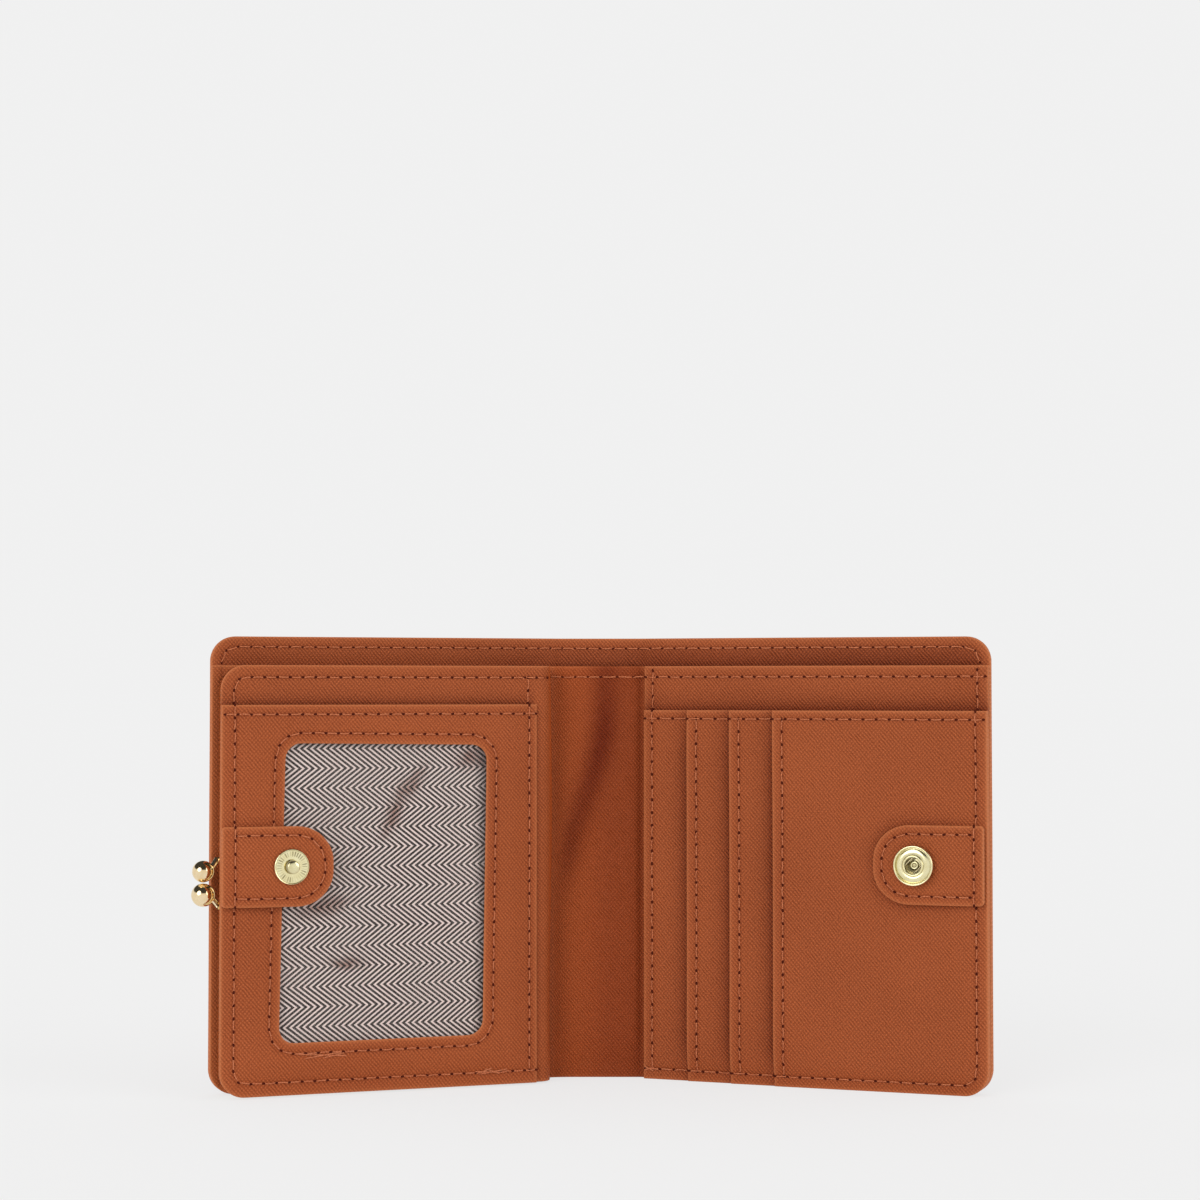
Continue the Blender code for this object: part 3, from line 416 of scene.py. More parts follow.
def wallTable():
    run = np.arange(-90.0, 113.01, wallet["foldStep"]) * mm  # from beyond the left edge to beyond the right one
    reach = wallet["creaseReach"]
    middle = (run[:-1] + run[1:]) / 2
    angle = wallet["fold"] * (smooth((middle + reach) / (2 * reach)) +
                              smooth((middle - wallet["spine"] + reach) / (2 * reach)))
    stride = np.diff(run)
    x = np.concatenate([[0.0], np.cumsum(np.cos(angle) * stride)]) + leftCrease[0] + run[0]
    y = np.concatenate([[0.0], np.cumsum(-np.sin(angle) * stride)]) + leftCrease[1]
    return run, x, y, np.interp(run, middle, angle)


wallRun, wallX, wallY, wallAngle = wallTable()


def onWall(s, z, t):
    u = np.where(s < wallet["spine"] / 2, -s, s - wallet["spine"])
    away = smooth((np.abs(s - wallet["spine"] / 2) - wallet["spine"] / 2) / (6.0 * mm))
    t = t + ripple(u, z) * away - wallet["creaseLevel"]
    angle = np.interp(s, wallRun, wallAngle)
    return np.stack([np.interp(s, wallRun, wallX) - np.sin(angle) * t,
                     np.interp(s, wallRun, wallY) - np.cos(angle) * t, z + 0.0 * s], axis=-1)


# Sheets: two grids of points, above and below, joined at their rim, which is round

def spaced(low, high, step, marks=()):
    values = [low, high]
    values += list(np.linspace(low, high, max(3, round((high - low) / step) + 1))[1:-1])
    for near in pointSteps["edge"]:
        values += [low + near * mm, high - near * mm]
    for mark in marks:
        values += [mark + offset * mm for offset in pointSteps["mark"]]
    kept = [low]
    for value in sorted(values):
        if value - kept[-1] > pointSteps["least"] and value <= high:
            kept.append(value)
    kept[-1] = high
    return np.array(kept)


def cornerRows(low, high, radii):
    rows = []
    for radius, edge, side in ((max(radii[0], radii[1]), low, 1.0), (max(radii[2], radii[3]), high, -1.0)):
        if radius:
            rows += [edge + side * radius * (1 - math.cos(math.radians(angle)))
                     for angle in pointSteps["cornerAngles"]]
    return rows


def insetAt(z, low, high, bottom, top):
    inset = np.zeros_like(z)
    for radius, depth in ((bottom, z - low), (top, high - z)):
        if radius:
            close = np.clip(radius - depth, 0.0, radius)
            inset = np.maximum(inset, radius - np.sqrt(radius * radius - close * close))
    return inset


squareCorners = (0.0, 0.0, 0.0, 0.0)


def panelGrid(panel, marksAcross=(), marksUp=()):
    low, high = panel["u"]
    bottom, top = panel["z"]
    radii = panel.get("corners", squareCorners)  # low bottom, high bottom, high top, low top
    columns = spaced(low, high, wallet["step"], marksAcross)
    rows = spaced(bottom, top, wallet["step"], marksUp)
    extra = cornerRows(bottom, top, radii)
    rows = np.unique(np.round(np.concatenate([rows, extra]), 7)) if extra else rows
    start = low + insetAt(rows, bottom, top, radii[0], radii[3])
    end = high - insetAt(rows, bottom, top, radii[1], radii[2])
    share = (columns - low) / (high - low)
    across = start[:, None] + share[None, :] * (end - start)[:, None]
    return across, rows[:, None] + 0.0 * across


def edgeDistance(panel, u, z, free=()):  # how far a point lies from the sheet's edges, apart from those that are free
    low, high = panel["u"]
    bottom, top = panel["z"]
    radii = panel.get("corners", squareCorners)
    sides = {"low": u - low, "high": high - u, "bottom": z - bottom, "top": top - z}
    sides = {name: value + 1.0 if name in free else value for name, value in sides.items()}
    distance = np.minimum.reduce(list(sides.values()))
    corners = (("low", "bottom"), ("high", "bottom"), ("high", "top"), ("low", "top"))
    for radius, (across, up) in zip(radii, corners):
        if radius:
            near = (sides[across] < radius) & (sides[up] < radius)
            curved = radius - np.hypot(radius - sides[across], radius - sides[up])
            distance = np.where(near, curved, distance)
    return np.maximum(distance, 0.0)


def rounding(distance, radius):
    close = np.clip(radius - distance, 0.0, radius)
    return radius - np.sqrt(np.maximum(radius * radius - close * close, 0.0))


def closeSheet(name, across, up, low, high, place, marks, material, wrap=False, grain=None):
    rows, columns = across.shape
    count = rows * columns
    points = np.concatenate([place(across, up, high).reshape(-1, 3), place(across, up, low).reshape(-1, 3)])
    index = np.arange(count).reshape(rows, columns)
    if wrap:
        index = np.concatenate([index, index[:, :1]], axis=1)
        loops = [index[0], index[-1][::-1]]
    else:
        loops = [np.concatenate([index[0, :-1], index[:-1, -1], index[-1, :0:-1], index[:, 0][::-1]])]
    faces = np.stack([index[:-1, :-1], index[:-1, 1:], index[1:, 1:], index[1:, :-1]], axis=-1).reshape(-1, 4)
    sides = [np.stack([loop[1:], loop[:-1], loop[:-1] + count, loop[1:] + count], axis=-1) for loop in loops]
    faces = np.concatenate([faces, faces[:, ::-1] + count] + sides)
    corners = points[faces]
    volume = (np.cross(corners[:, 1] - corners[:, 0], corners[:, 2] - corners[:, 0]) * corners[:, 0]).sum()
    if volume < 0:
        faces = faces[:, ::-1]
    mesh = bpy.data.meshes.new(name)
    mesh.from_pydata(points.tolist(), [], faces.tolist())
    mirrored = -1.0 if material is leather and place in facingLeft else 1.0
    flat = np.stack(grain if grain else (across * mirrored, up), axis=-1).reshape(-1, 2) / mm
    flat = np.concatenate([flat, flat])
    corner = np.zeros(len(mesh.loops), np.int32)
    mesh.loops.foreach_get("vertex_index", corner)
    mesh.uv_layers.new(name="grain").data.foreach_set("uv", flat[corner].astype(np.float32).ravel())
    for mark, value in marks.items():
        value = np.broadcast_to(value, across.shape).ravel()
        value = np.concatenate([value, value if mark != "sewn" else 0.0 * value]).astype(np.float32)
        mesh.attributes.new(mark, "FLOAT", "POINT").data.foreach_set("value", value)
    return finishMesh(name, mesh, material)


# Marks for the leather: one for its cut edge, which gets a smoother grain and a painted highlight, one for a seam's
# groove, darkened as painted shade, one for painted shade and one for painted light, as if bounced off nearby leather
def makeSheet(name, grid, distance, low, thick, place, seams=(), material=None, rimReach=0.32 * mm, wrap=False,
              paintedShade=0.0, swell=0.0, edgeRound=None, glow=0.0):
    u, z = grid
    bevel = rounding(distance, (edgeRound or wallet["edgeRound"]) * thick)
    dip = stitchDip(u, z, seams)
    marks = {"rim": np.exp(-distance / rimReach), "sewn": dip / stitch["groove"], "paintedShade": paintedShade, "glow": glow}
    return closeSheet(name, u, z, low + bevel, low + thick - bevel - dip + swell, place, marks, material or leather,
                      wrap)


def finishMesh(name, mesh, material, sharp=50.0):
    mesh.shade_smooth()
    mesh.set_sharp_from_angle(angle=math.radians(sharp))
    if not mesh.materials:
        mesh.materials.append(material)
    return addObject(name, mesh)


stitch = {"pitch": 3.1 * mm, "leafPitch": 3.05 * mm, "tabPitch": 2.9 * mm, "thread": 0.155 * mm, "hole": 0.37 * mm,
          "liningHole": 0.3 * mm, "rise": 0.46 * mm, "drop": 0.24 * mm, "groove": 0.12 * mm, "grooveReach": 0.5 * mm,
          "turn": (0.95, 0.04, 0.05), "holeShape": (1.25, 0.8, 0.45), "seed": 7,
          "shift": ((0.0, -0.06 * mm, -0.02 * mm), (0.0, 0.06 * mm, 0.05 * mm))}


def lineDistance(u, z, path):
    best = np.full(u.shape, 1.0)
    for (u0, z0), (u1, z1) in zip(path[:-1], path[1:]):
        square = (u1 - u0) ** 2 + (z1 - z0) ** 2
        if square < 1e-14:  # two points of the path in one place
            continue
        share = np.clip(((u - u0) * (u1 - u0) + (z - z0) * (z1 - z0)) / square, 0.0, 1.0)
        best = np.minimum(best, np.hypot(u - u0 - share * (u1 - u0), z - z0 - share * (z1 - z0)))
    return best


def stitchDip(u, z, paths):
    dip = np.zeros(u.shape)
    for path in paths:
        dip = np.maximum(dip, np.exp(-(lineDistance(u, z, path) / stitch["grooveReach"]) ** 2))
    return stitch["groove"] * dip


def routed(corners, radius, closed=False):  # a path through the corners, each turned in an arc
    points = [Vector(corner) for corner in corners]
    path = []
    count = len(points)
    for number, point in enumerate(points):
        if not closed and number in (0, count - 1):
            path.append(tuple(point))
            continue
        before, after = points[number - 1], points[(number + 1) % count]
        inward, outward = (before - point).normalized(), (after - point).normalized()
        half = inward.angle(outward) / 2
        if half > 1.5:  # the path runs straight on
            path.append(tuple(point))
            continue
        reach = radius / math.tan(half)
        centre = point + (inward + outward).normalized() * (radius / math.sin(half))
        start, end = point + inward * reach - centre, point + outward * reach - centre
        sweep = start.angle_signed(end)
        steps = max(4, round(abs(sweep) * radius / (0.7 * mm)))
        for step in range(steps + 1):
            angle = -sweep * step / steps
            path.append((centre.x + start.x * math.cos(angle) - start.y * math.sin(angle),
                         centre.y + start.x * math.sin(angle) + start.y * math.cos(angle)))
    if closed:
        path.append(path[0])
    return path


# Cover, lining and divider: each runs across the spine and is parted in the middle of it

cover = {"skin": 1.0 * mm, "hemLevel": 1.8 * mm, "hem": 3.2 * mm, "stitch": 2.5 * mm, "rimReach": 0.45 * mm,
         "reach": {"inner": 2.4 * mm, "outer": 2.4 * mm}}
lining = {"thickness": 0.5 * mm, "half": 2.1 * mm, "spine": 1.3 * mm, "pinch": 0.2 * mm,
          "shade": 0.12, "shadeRight": 0.30, "mouthShade": 0.32, "mouthReach": 2.2 * mm,
          "reach": {"inner": 4.0 * mm, "outer": 1.0 * mm}}  # reaches each side of a crease
divider = {"thickness": 0.6 * mm, "half": 2.9 * mm, "spine": 2.1 * mm, "stitch": 2.7 * mm, "pinch": 0.42 * mm,
           "slack": 1.3 * mm, "valleyFoot": 2.0 * mm, "valleyLean": 10.5 * mm, "valleyWidth": 3.4 * mm,
           "crownMiddle": 13.0 * mm, "crownWidth": 5.5 * mm, "crown": (0.42, 0.3), "fullness": (0.75, 0.7, 0.75),
           "hang": 12.0 * mm, "gape": 1.0 * mm, "gapeFoot": 66.0 * mm, "gapeRise": 36.0 * mm,
           "shade": 0.19, "shadeRight": 0.35, "valleyShade": 0.55, "creaseShade": 0.3, "creaseShadeReach": 1.6 * mm,
           "glow": 0.3}
spineSpans = {"lining": (-1.2 * mm, 3.0 * mm, wallet["spine"] + 1.2 * mm, 3.0 * mm),  # start, rise, end and fall
              "divider": (-3.0 * mm, 7.0 * mm, wallet["spine"] + 1.2 * mm, 3.0 * mm),
              "slack": (-3.4 * mm, 7.5 * mm, wallet["spine"], 4.0 * mm),
              "shade": (-3.0 * mm, 3.0 * mm, wallet["spine"] + 1.0 * mm, 3.0 * mm)}
pinchReach = 5.0 * mm
spineMiddle = wallet["spine"] / 2
wallStart, wallEnd = -wallet["halfWidth"], wallet["spine"] + wallet["halfWidth"]


def within(value, start, rise, end, fall):
    return smooth((value - start) / rise) * smooth((end - value) / fall)


def perimeter(inset):
    low, high = wallStart + inset, wallEnd - inset
    top = wallet["height"] - inset
    corners = [(spineMiddle, top), (low, top), (low, inset), (spineMiddle, inset), (high, inset), (high, top)]
    return routed(corners, wallet["corner"] - inset, closed=True)


def wallPanel(part, top, corner):  # half of a sheet, and its edge in the middle of the spine
    lower = wallet["corner"]
    if part == "left":
        return {"u": (wallStart, spineMiddle), "z": (0.0, top), "corners": (lower, 0.0, 0.0, corner)}, ("high",)
    return {"u": (spineMiddle, wallEnd), "z": (0.0, top), "corners": (0.0, lower, corner, 0.0)}, ("low",)


def sideLine(part, inset):
    return wallStart + inset if part == "left" else wallEnd - inset


def spineMarks(part):
    return [0.0, 1.5 * mm, 3.0 * mm] if part == "left" else [wallet["spine"], wallet["spine"] - 1.5 * mm]


def dress(piece, nodes):
    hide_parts(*nodes)
    return piece


def makeCover(part):
    panel, free = wallPanel(part, wallet["height"], wallet["corner"])
    inset, hem = cover["stitch"], cover["hem"]
    s, z = panelGrid(panel, [sideLine(part, inset), sideLine(part, hem)] + spineMarks(part),
                     [inset, wallet["height"] - inset, hem, wallet["height"] - hem])
    distance = edgeDistance(panel, s, z, free)
    beside = -s if part == "left" else s - wallet["spine"]
    band = smooth((hem + 0.2 * mm - distance) / (0.4 * mm)) * smooth((beside - 1.5 * mm) / (2.0 * mm))
    high = cover["skin"] + (cover["hemLevel"] - cover["skin"]) * band
    dip = stitchDip(s, z, [perimeter(inset)])
    bevel = rounding(distance, wallet["edgeRound"] * high)
    marks = {"rim": np.exp(-distance / cover["rimReach"]), "sewn": dip / stitch["groove"]}
    piece = closeSheet("cover_leather_" + part, s, z, bevel + dip, high - bevel, onWall, marks, leather)
    nodes = {"left": ("cover_left", "cover_spine"), "right": ("cover_right",)}
    return dress(piece, nodes[part])


def creasePoint(s):
    spot = onWall(np.array(s), np.array(0.0), np.array(wallet["creaseLevel"]))
    return tuple(float(value) for value in spot)


def blendWall(piece, part, inner, outer):
    spine = wallet["spine"]
    if part == "left":
        creasePoint(-outer)
        creasePoint(inner)
        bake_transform(piece)
    else:
        creasePoint(spine - inner)
        creasePoint(spine + outer)
        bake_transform(piece)


def liningLevel(s, distance):
    inSpine = within(s, *spineSpans["lining"])
    pinch = 1.0 - smooth(distance / pinchReach)
    return lining["half"] - (lining["half"] - lining["spine"]) * inSpine - lining["pinch"] * pinch * (1 - inSpine)


def makeLining(part):
    panel, free = wallPanel(part, wallet["height"], wallet["corner"])
    inset = cover["stitch"]
    s, z = panelGrid(panel, [sideLine(part, inset)] + spineMarks(part), [inset, wallet["height"] - inset])
    distance = edgeDistance(panel, s, z, free)
    # Painted shade over the lining, stronger over the spine and right half and just above the divider's top edge, kept
    # off its edges
    rightwards = smooth((s + 30.0 * mm) / (60.0 * mm))
    mouth = (lining["shade"] + lining["shadeRight"] * rightwards +
             lining["mouthShade"] * np.exp(-np.abs(z - wallet["dividerTop"]) / lining["mouthReach"]))
    piece = makeSheet("pocket_lining_" + part, (s, z), distance, liningLevel(s, distance), lining["thickness"], onWall,
                      [perimeter(inset)], paintedShade=mouth * smooth((distance - 1.0 * mm) / (3.0 * mm)))
    nodes = {"left": ("cover_lining_left", "lining_spine"), "right": ("cover_lining_right",)}
    return dress(piece, nodes[part])


def slackness(s, z):  # how far the divider stands out between the creases, and the valley that runs down it
    span = within(s, *spineSpans["slack"])
    height = z / wallet["dividerTop"]
    valley = divider["valleyFoot"] + divider["valleyLean"] * smooth((height - 0.45) / 0.45)
    fade = 1.0 - 0.45 * smooth((height - 0.8) / 0.2)
    groove = np.exp(-((s - valley) / divider["valleyWidth"]) ** 2) * smooth((height - 0.38) / 0.2) * fade
    middle, share = divider["crown"]
    rise = np.exp(-((height - middle) / share) ** 2)
    crown = np.exp(-((s - divider["crownMiddle"]) / divider["crownWidth"]) ** 2) * rise
    hang = smooth(z / divider["hang"])
    plain, less, more = divider["fullness"]
    return span * hang * divider["slack"] * (plain - less * groove + more * crown), groove * span


def gape(u, z):  # how far the sheets of the right half stand off its cover towards the top
    bow = np.sin(math.pi * np.clip(u / wallet["halfWidth"], 0.0, 1.0)) ** 0.7
    return divider["gape"] * bow * smooth((z - divider["gapeFoot"]) / divider["gapeRise"])


def dividerLevel(s, z, distance):
    pinch = 1.0 - smooth(distance / pinchReach)
    level = divider["half"] - (divider["half"] - divider["spine"]) * within(s, *spineSpans["divider"])
    beside = np.clip(s - wallet["spine"], 0.0, wallet["halfWidth"])
    return (level + slackness(s, z)[0] + gape(beside, z) -
            divider["pinch"] * pinch * (1 - within(s, *spineSpans["lining"])))


def dividerSeam():
    height = wallet["dividerTop"] - divider["stitch"]
    return [(wallStart + 3.0 * mm, height), (wallet["spine"] + 1.2 * mm, height)]


def makeDivider(part):
    panel, free = wallPanel(part, wallet["dividerTop"], 0.0)
    edge = sideLine(part, cover["stitch"])
    s, z = panelGrid(panel, [edge] + spineMarks(part), [cover["stitch"], wallet["dividerTop"] - divider["stitch"]])
    sewn = edgeDistance(panel, s, z, free + ("top",))
    # Painted shade over the spine, deeper towards the right crease, in the valley and beside the right crease, and
    # painted light over the spine, as if bounced off the purse's fold
    inSpine = within(s, *spineSpans["shade"])
    beside = np.exp(-np.abs(wallet["spine"] - s) / divider["creaseShadeReach"])
    paintedShade = inSpine * (divider["shade"] + divider["shadeRight"] * smooth((s - 3.0 * mm) / (12.0 * mm)) +
                      divider["valleyShade"] * slackness(s, z)[1] + divider["creaseShade"] * beside)
    piece = makeSheet("note_divider_" + part, (s, z), edgeDistance(panel, s, z, free), dividerLevel(s, z, sewn),
                      divider["thickness"], onWall, [dividerSeam(), [(edge, 2.5 * mm), (edge, wallet["dividerTop"])]],
                      paintedShade=paintedShade, glow=divider["glow"] * inSpine)
    nodes = {"left": ("divider_left", "divider_spine"), "right": ("divider_right",)}
    return dress(piece, nodes[part])


wallPieces = {}
for part in ("left", "right"):
    wallPieces[part] = [make(part) for make in (makeCover, makeLining, makeDivider)]
    for piece, reach in zip(wallPieces[part], (cover["reach"], lining["reach"], lining["reach"])):
        blendWall(piece, part, **reach)
    boardFinish = frame["nodes"]["cover_board_" + part].data.materials
    boardFinish.clear()
    boardFinish.append(board)
print("wallet: cover, lining and divider made")


# Card side

tabs = {"edge": 87.4 * mm, "tip": 60.8 * mm, "width": 19.1 * mm, "height": 55.0 * mm, "endRound": 8.6 * mm,
        "rootRound": 1.0 * mm, "seam": 2.1 * mm, "rootSeam": 3.2 * mm, "snap": 71.0 * mm, "gap": 0.3 * mm,
        "crossSeam": {"stud": 0.1 * mm, "socket": 0.9 * mm}, "crossOver": 2.0 * mm,
        "face": {"thickness": 0.7 * mm, "bore": 1.9 * mm}, "backing": {"thickness": 0.6 * mm, "bore": 3.8 * mm},
        "rootStart": 79.0 * mm, "rootEase": 8.0 * mm, "rootDrop": {"stud": 1.2 * mm, "socket": 0.95 * mm},
        "lift": 0.6 * mm, "liftEase": 7.5 * mm, "swell": 0.14 * mm, "swellReach": 3.5 * mm,
        "bend": (0.2 * mm, -3.5 * mm), "shadeReach": 1.5 * mm, "shadeEnd": 86.5 * mm}
cards = {"start": 0.8 * mm, "slip": (3.8 * mm, 0.6 * mm), "base": (4.7 * mm, 0.6 * mm),  # level and thickness
         "slots": ((5.6 * mm, 0.5 * mm), (6.4 * mm, 0.5 * mm), (7.2 * mm, 0.5 * mm)),
         "firstEdge": 12.6 * mm, "stepAcross": 11.3 * mm, "edgeSeam": 2.5 * mm, "topSeam": 2.1 * mm,
         "sideSeam": 2.7 * mm, "bottomSeam": 2.6 * mm, "creaseSeam": 2.3 * mm, "press": 0.26, "pressLevel": 3.3 * mm,
         "pressReach": 6.0 * mm, "mouth": 0.62 * mm, "mouthReach": 7.5 * mm, "sink": 0.16 * mm, "sinkReach": 3.0 * mm,
         "slipShade": 0.75, "slipShadeReach": 2.6 * mm, "slotShade": 0.85, "slotShadeReach": 1.9 * mm,
         "tabShade": 0.32}


def pressRight(u, z, t):  # the layers are pressed together along their sewn sides
    sewn = np.minimum(np.minimum(wallet["halfWidth"] - u, z), (u - cards["start"]) * 1.5)
    share = 1.0 - cards["press"] * (1.0 - smooth(sewn / cards["pressReach"]))
    return cards["pressLevel"] + (t - cards["pressLevel"]) * share + gape(u, z)


def mouthLift(z):
    return smooth((z - 2.0 * mm) / (9.0 * mm)) * (0.3 + 0.7 * smooth((wallet["cardTop"] - z) / (14.0 * mm)))


def signedDistance(panel, u, z):
    low, high = panel["u"]
    bottom, top = panel["z"]
    radius = panel["corners"][0]
    across = np.abs(u - (low + high) / 2) - (high - low) / 2 + radius
    up = np.abs(z - (bottom + top) / 2) - (top - bottom) / 2 + radius
    return radius - np.hypot(np.maximum(across, 0.0), np.maximum(up, 0.0)) - np.minimum(np.maximum(across, up), 0.0)


# How close a point lies to the strap tab's outline, for painted shade round the tab, fading towards its root
def tabShadeMask(u, z):
    tab = {"u": (tabs["tip"], tabs["edge"] + 10.0 * mm), "corners": (tabs["endRound"],),
           "z": (tabs["height"] - tabs["width"] / 2, tabs["height"] + tabs["width"] / 2)}
    beside = np.exp(-np.abs(signedDistance(tab, u, z)) / tabs["shadeReach"])
    return beside * smooth((tabs["shadeEnd"] - u) / (10.0 * mm))


def slotEdges():
    return [cards["firstEdge"] + cards["stepAcross"] * number for number in range(len(cards["slots"]))]


def cardPanels():
    panels = [("slip_pocket", "slip_pocket_panel", cards["start"], wallet["dividerTop"], cards["slip"]),
              ("card_base", "card_base_panel", cards["start"], wallet["cardTop"], cards["base"])]
    for number, (edge, level) in enumerate(zip(slotEdges(), cards["slots"]), 1):
        panels.append(("card_pocket_%d" % number, "card_slot_%d" % number, edge, wallet["cardTop"], level))
    corners = (0.0, wallet["corner"], 0.0, 0.0)
    return [(name, node, {"u": (start, wallet["halfWidth"]), "z": (0.0, top), "corners": corners}, level)
            for name, node, start, top, level in panels]


def cardSeams():
    side = wallet["halfWidth"] - cards["sideSeam"]
    low = cards["bottomSeam"]
    crease = cards["start"] + cards["creaseSeam"]
    slipTop = wallet["dividerTop"] - divider["stitch"]
    baseTop = wallet["cardTop"] - cards["topSeam"]
    over = slipTop + 1.6 * mm
    outer = routed([(cards["start"] + 0.5 * mm, low), (side, low), (side, over)], wallet["corner"] - cards["sideSeam"])
    seams = [[(crease, over), (crease, low)], outer]
    for top in (slipTop, baseTop):
        seams.append([(cards["start"] + 0.3 * mm, top), (wallet["halfWidth"] - 0.8 * mm, top)])
    for edge in slotEdges():
        seams.append([(edge + cards["edgeSeam"], baseTop), (edge + cards["edgeSeam"], low)])
    return seams


def makeCardSide():
    seams = cardSeams()
    made = []
    for name, node, panel, (level, thick) in cardPanels():
        edge, top = panel["u"][0], panel["z"][1]
        isSlip = name == "slip_pocket"
        u, z = panelGrid(panel, [edge + cards["edgeSeam"], wallet["halfWidth"] - cards["sideSeam"]],
                         [cards["bottomSeam"], top - (divider["stitch"] if isSlip else cards["topSeam"])])
        low = pressRight(u, z, level)
        # Painted shade on the slip pocket just above the card panels' top edge, under each next slot's edge, and round
        # the strap tab
        over = np.exp(-np.abs(z - wallet["cardTop"]) / cards["slipShadeReach"])
        paintedShade = cards["slipShade"] * over if isSlip else 0.0 * u
        if name.startswith("card_pocket"):
            low = low + cards["mouth"] * mouthLift(z) * (1.0 - smooth((u - edge) / cards["mouthReach"]))
        for later in slotEdges():  # a sheet sinks under the next slot's edge, with painted shade there
            if later > edge and not isSlip:
                low = low - cards["sink"] * mouthLift(z) * np.exp(-((u - later) / cards["sinkReach"]) ** 2)
                shade = cards["slotShade"] * np.exp(-np.abs(u - later) / cards["slotShadeReach"])
                paintedShade = np.maximum(paintedShade, shade * (0.5 + 0.5 * mouthLift(z)))
        paintedShade = np.maximum(paintedShade, cards["tabShade"] * tabShadeMask(u, z))
        piece = makeSheet(name, (u, z), edgeDistance(panel, u, z), low, thick, onRight, seams, paintedShade=paintedShade)
        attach(dress(piece, (node,)), "front_half")
        made.append(piece)
    return made


cardPieces = makeCardSide()
print("wallet: card side made")


# Coin purse: one leather wraps its closed side and runs on as its front wall

purse = {"bottom": 0.4 * mm, "edge": 87.4 * mm, "top": 103.0 * mm, "wall": 10.9 * mm, "back": 4.1 * mm,
         "thickness": 0.6 * mm, "bend": 7.4 * mm, "backEnd": 14.5 * mm, "seam": 3.2 * mm, "topSeam": 2.9 * mm,
         "slump": 0.35 * mm, "slumpLength": 17.0 * mm, "bendFrom": 4.6 * mm, "bendTo": 10.2 * mm,
         "shade": 0.6, "shadeReach": 1.8 * mm, "glow": 0.75,
         "paintedLightTurn": (1.2, 0.5, 2.55, 0.75)}  # start, rise, end and fall round the fold, in radians
pocket = {"start": 8.6 * mm, "top": 93.5 * mm, "low": 12.6 * mm, "thickness": 0.6 * mm, "topSeam": 2.3 * mm,
          "creaseSeam": 2.0 * mm, "window": (22.2 * mm, 73.2 * mm, 12.2 * mm, 83.7 * mm), "round": 3.8 * mm,
          "windowSeam": 2.5 * mm, "drop": 0.95 * mm, "dropFrom": 1.2 * mm, "dropReach": 6.5 * mm, "tabShade": 0.27,
          "lean": (((0.6, 0.7), (0.25, 0.7)), ((-0.4, -0.1), (-1.2, 0.6)))}  # how far its corners lie off square, in mm
windowLining = {"low": 11.5 * mm, "thickness": 0.3 * mm, "inset": 1.5 * mm, "dropShare": 0.24}
windowFilm = {"low": 12.1 * mm, "thickness": 0.2 * mm, "border": 3.2 * mm}
purseLining = {"thickness": 0.3 * mm, "front": 10.0 * mm, "back": 3.8 * mm,
               "frontPanel": {"u": (14.8 * mm, 83.1 * mm), "z": (4.7 * mm, 98.7 * mm),
                              "corners": (0.0, 2.0 * mm, 2.0 * mm, 0.0)},
               "backPanel": {"u": (14.8 * mm, 83.9 * mm), "z": (3.5 * mm, 99.5 * mm)}}
purseRadius = (purse["wall"] - purse["back"]) / 2
backLength = purse["backEnd"] - purse["bend"]


def foldedPlace(q, z, offset):  # q runs along the leather, from behind the fold to the front wall's edge
    angle = np.clip((q - backLength) / purseRadius, 0.0, math.pi)
    past = np.maximum(q - backLength - math.pi * purseRadius, 0.0)
    slump = purse["slump"] * np.sin(angle) ** 2 * np.sin(z / purse["slumpLength"] + 0.6)
    u = purse["bend"] + np.maximum(backLength - q, 0.0) - (purseRadius - slump) * np.sin(angle) + past
    t = (purse["back"] + purse["wall"]) / 2 - purseRadius * np.cos(angle)
    return onLeft(u - np.sin(angle) * offset, z, t - np.cos(angle) * offset)


facingLeft.append(foldedPlace)


def wallQ(u):
    return u + purse["backEnd"] - 2 * purse["bend"] + math.pi * purseRadius


def leaned(u, z, way=1.0):
    u0, u1, z0, z1 = pocket["window"]
    across, up = np.clip((u - u0) / (u1 - u0), 0.0, 1.0), np.clip((z - z0) / (z1 - z0), 0.0, 1.0)
    rows = [(1.0 - across) * np.array(low)[:, None] + across * np.array(high)[:, None]
            for low, high in pocket["lean"]]
    moved = (rows[0] * (1.0 - up) + rows[1] * up) * way * mm
    return u + moved[0], z + moved[1]


def leanedPath(path):
    return list(zip(*leaned(*np.array(path).T)))


def leafSeams():
    low, high = purse["bottom"] + purse["seam"], purse["top"] - purse["topSeam"]
    side = purse["edge"] - purse["seam"]
    crease = pocket["start"] + pocket["creaseSeam"]
    corners = [(pocket["start"] - 3.6 * mm, high), (side, high), (side, low), (pocket["start"] - 0.6 * mm, low)]
    around = routed(corners, wallet["corner"] - purse["seam"])
    u0, u1, z0, z1 = pocket["window"]
    out = pocket["windowSeam"]
    opening = routed([((u0 + u1) / 2, z1 + out), (u1 + out, z1 + out), (u1 + out, z0 - out), (u0 - out, z0 - out),
                      (u0 - out, z1 + out)], pocket["round"] + out, closed=True)
    mouth = pocket["top"] - pocket["topSeam"]
    return [around, [(crease, low), (crease, high)],
            [(pocket["start"] + 0.3 * mm, mouth), (purse["edge"] - 0.8 * mm, mouth)], leanedPath(opening)]


def blendFold(piece):
    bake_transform(piece)
    return piece


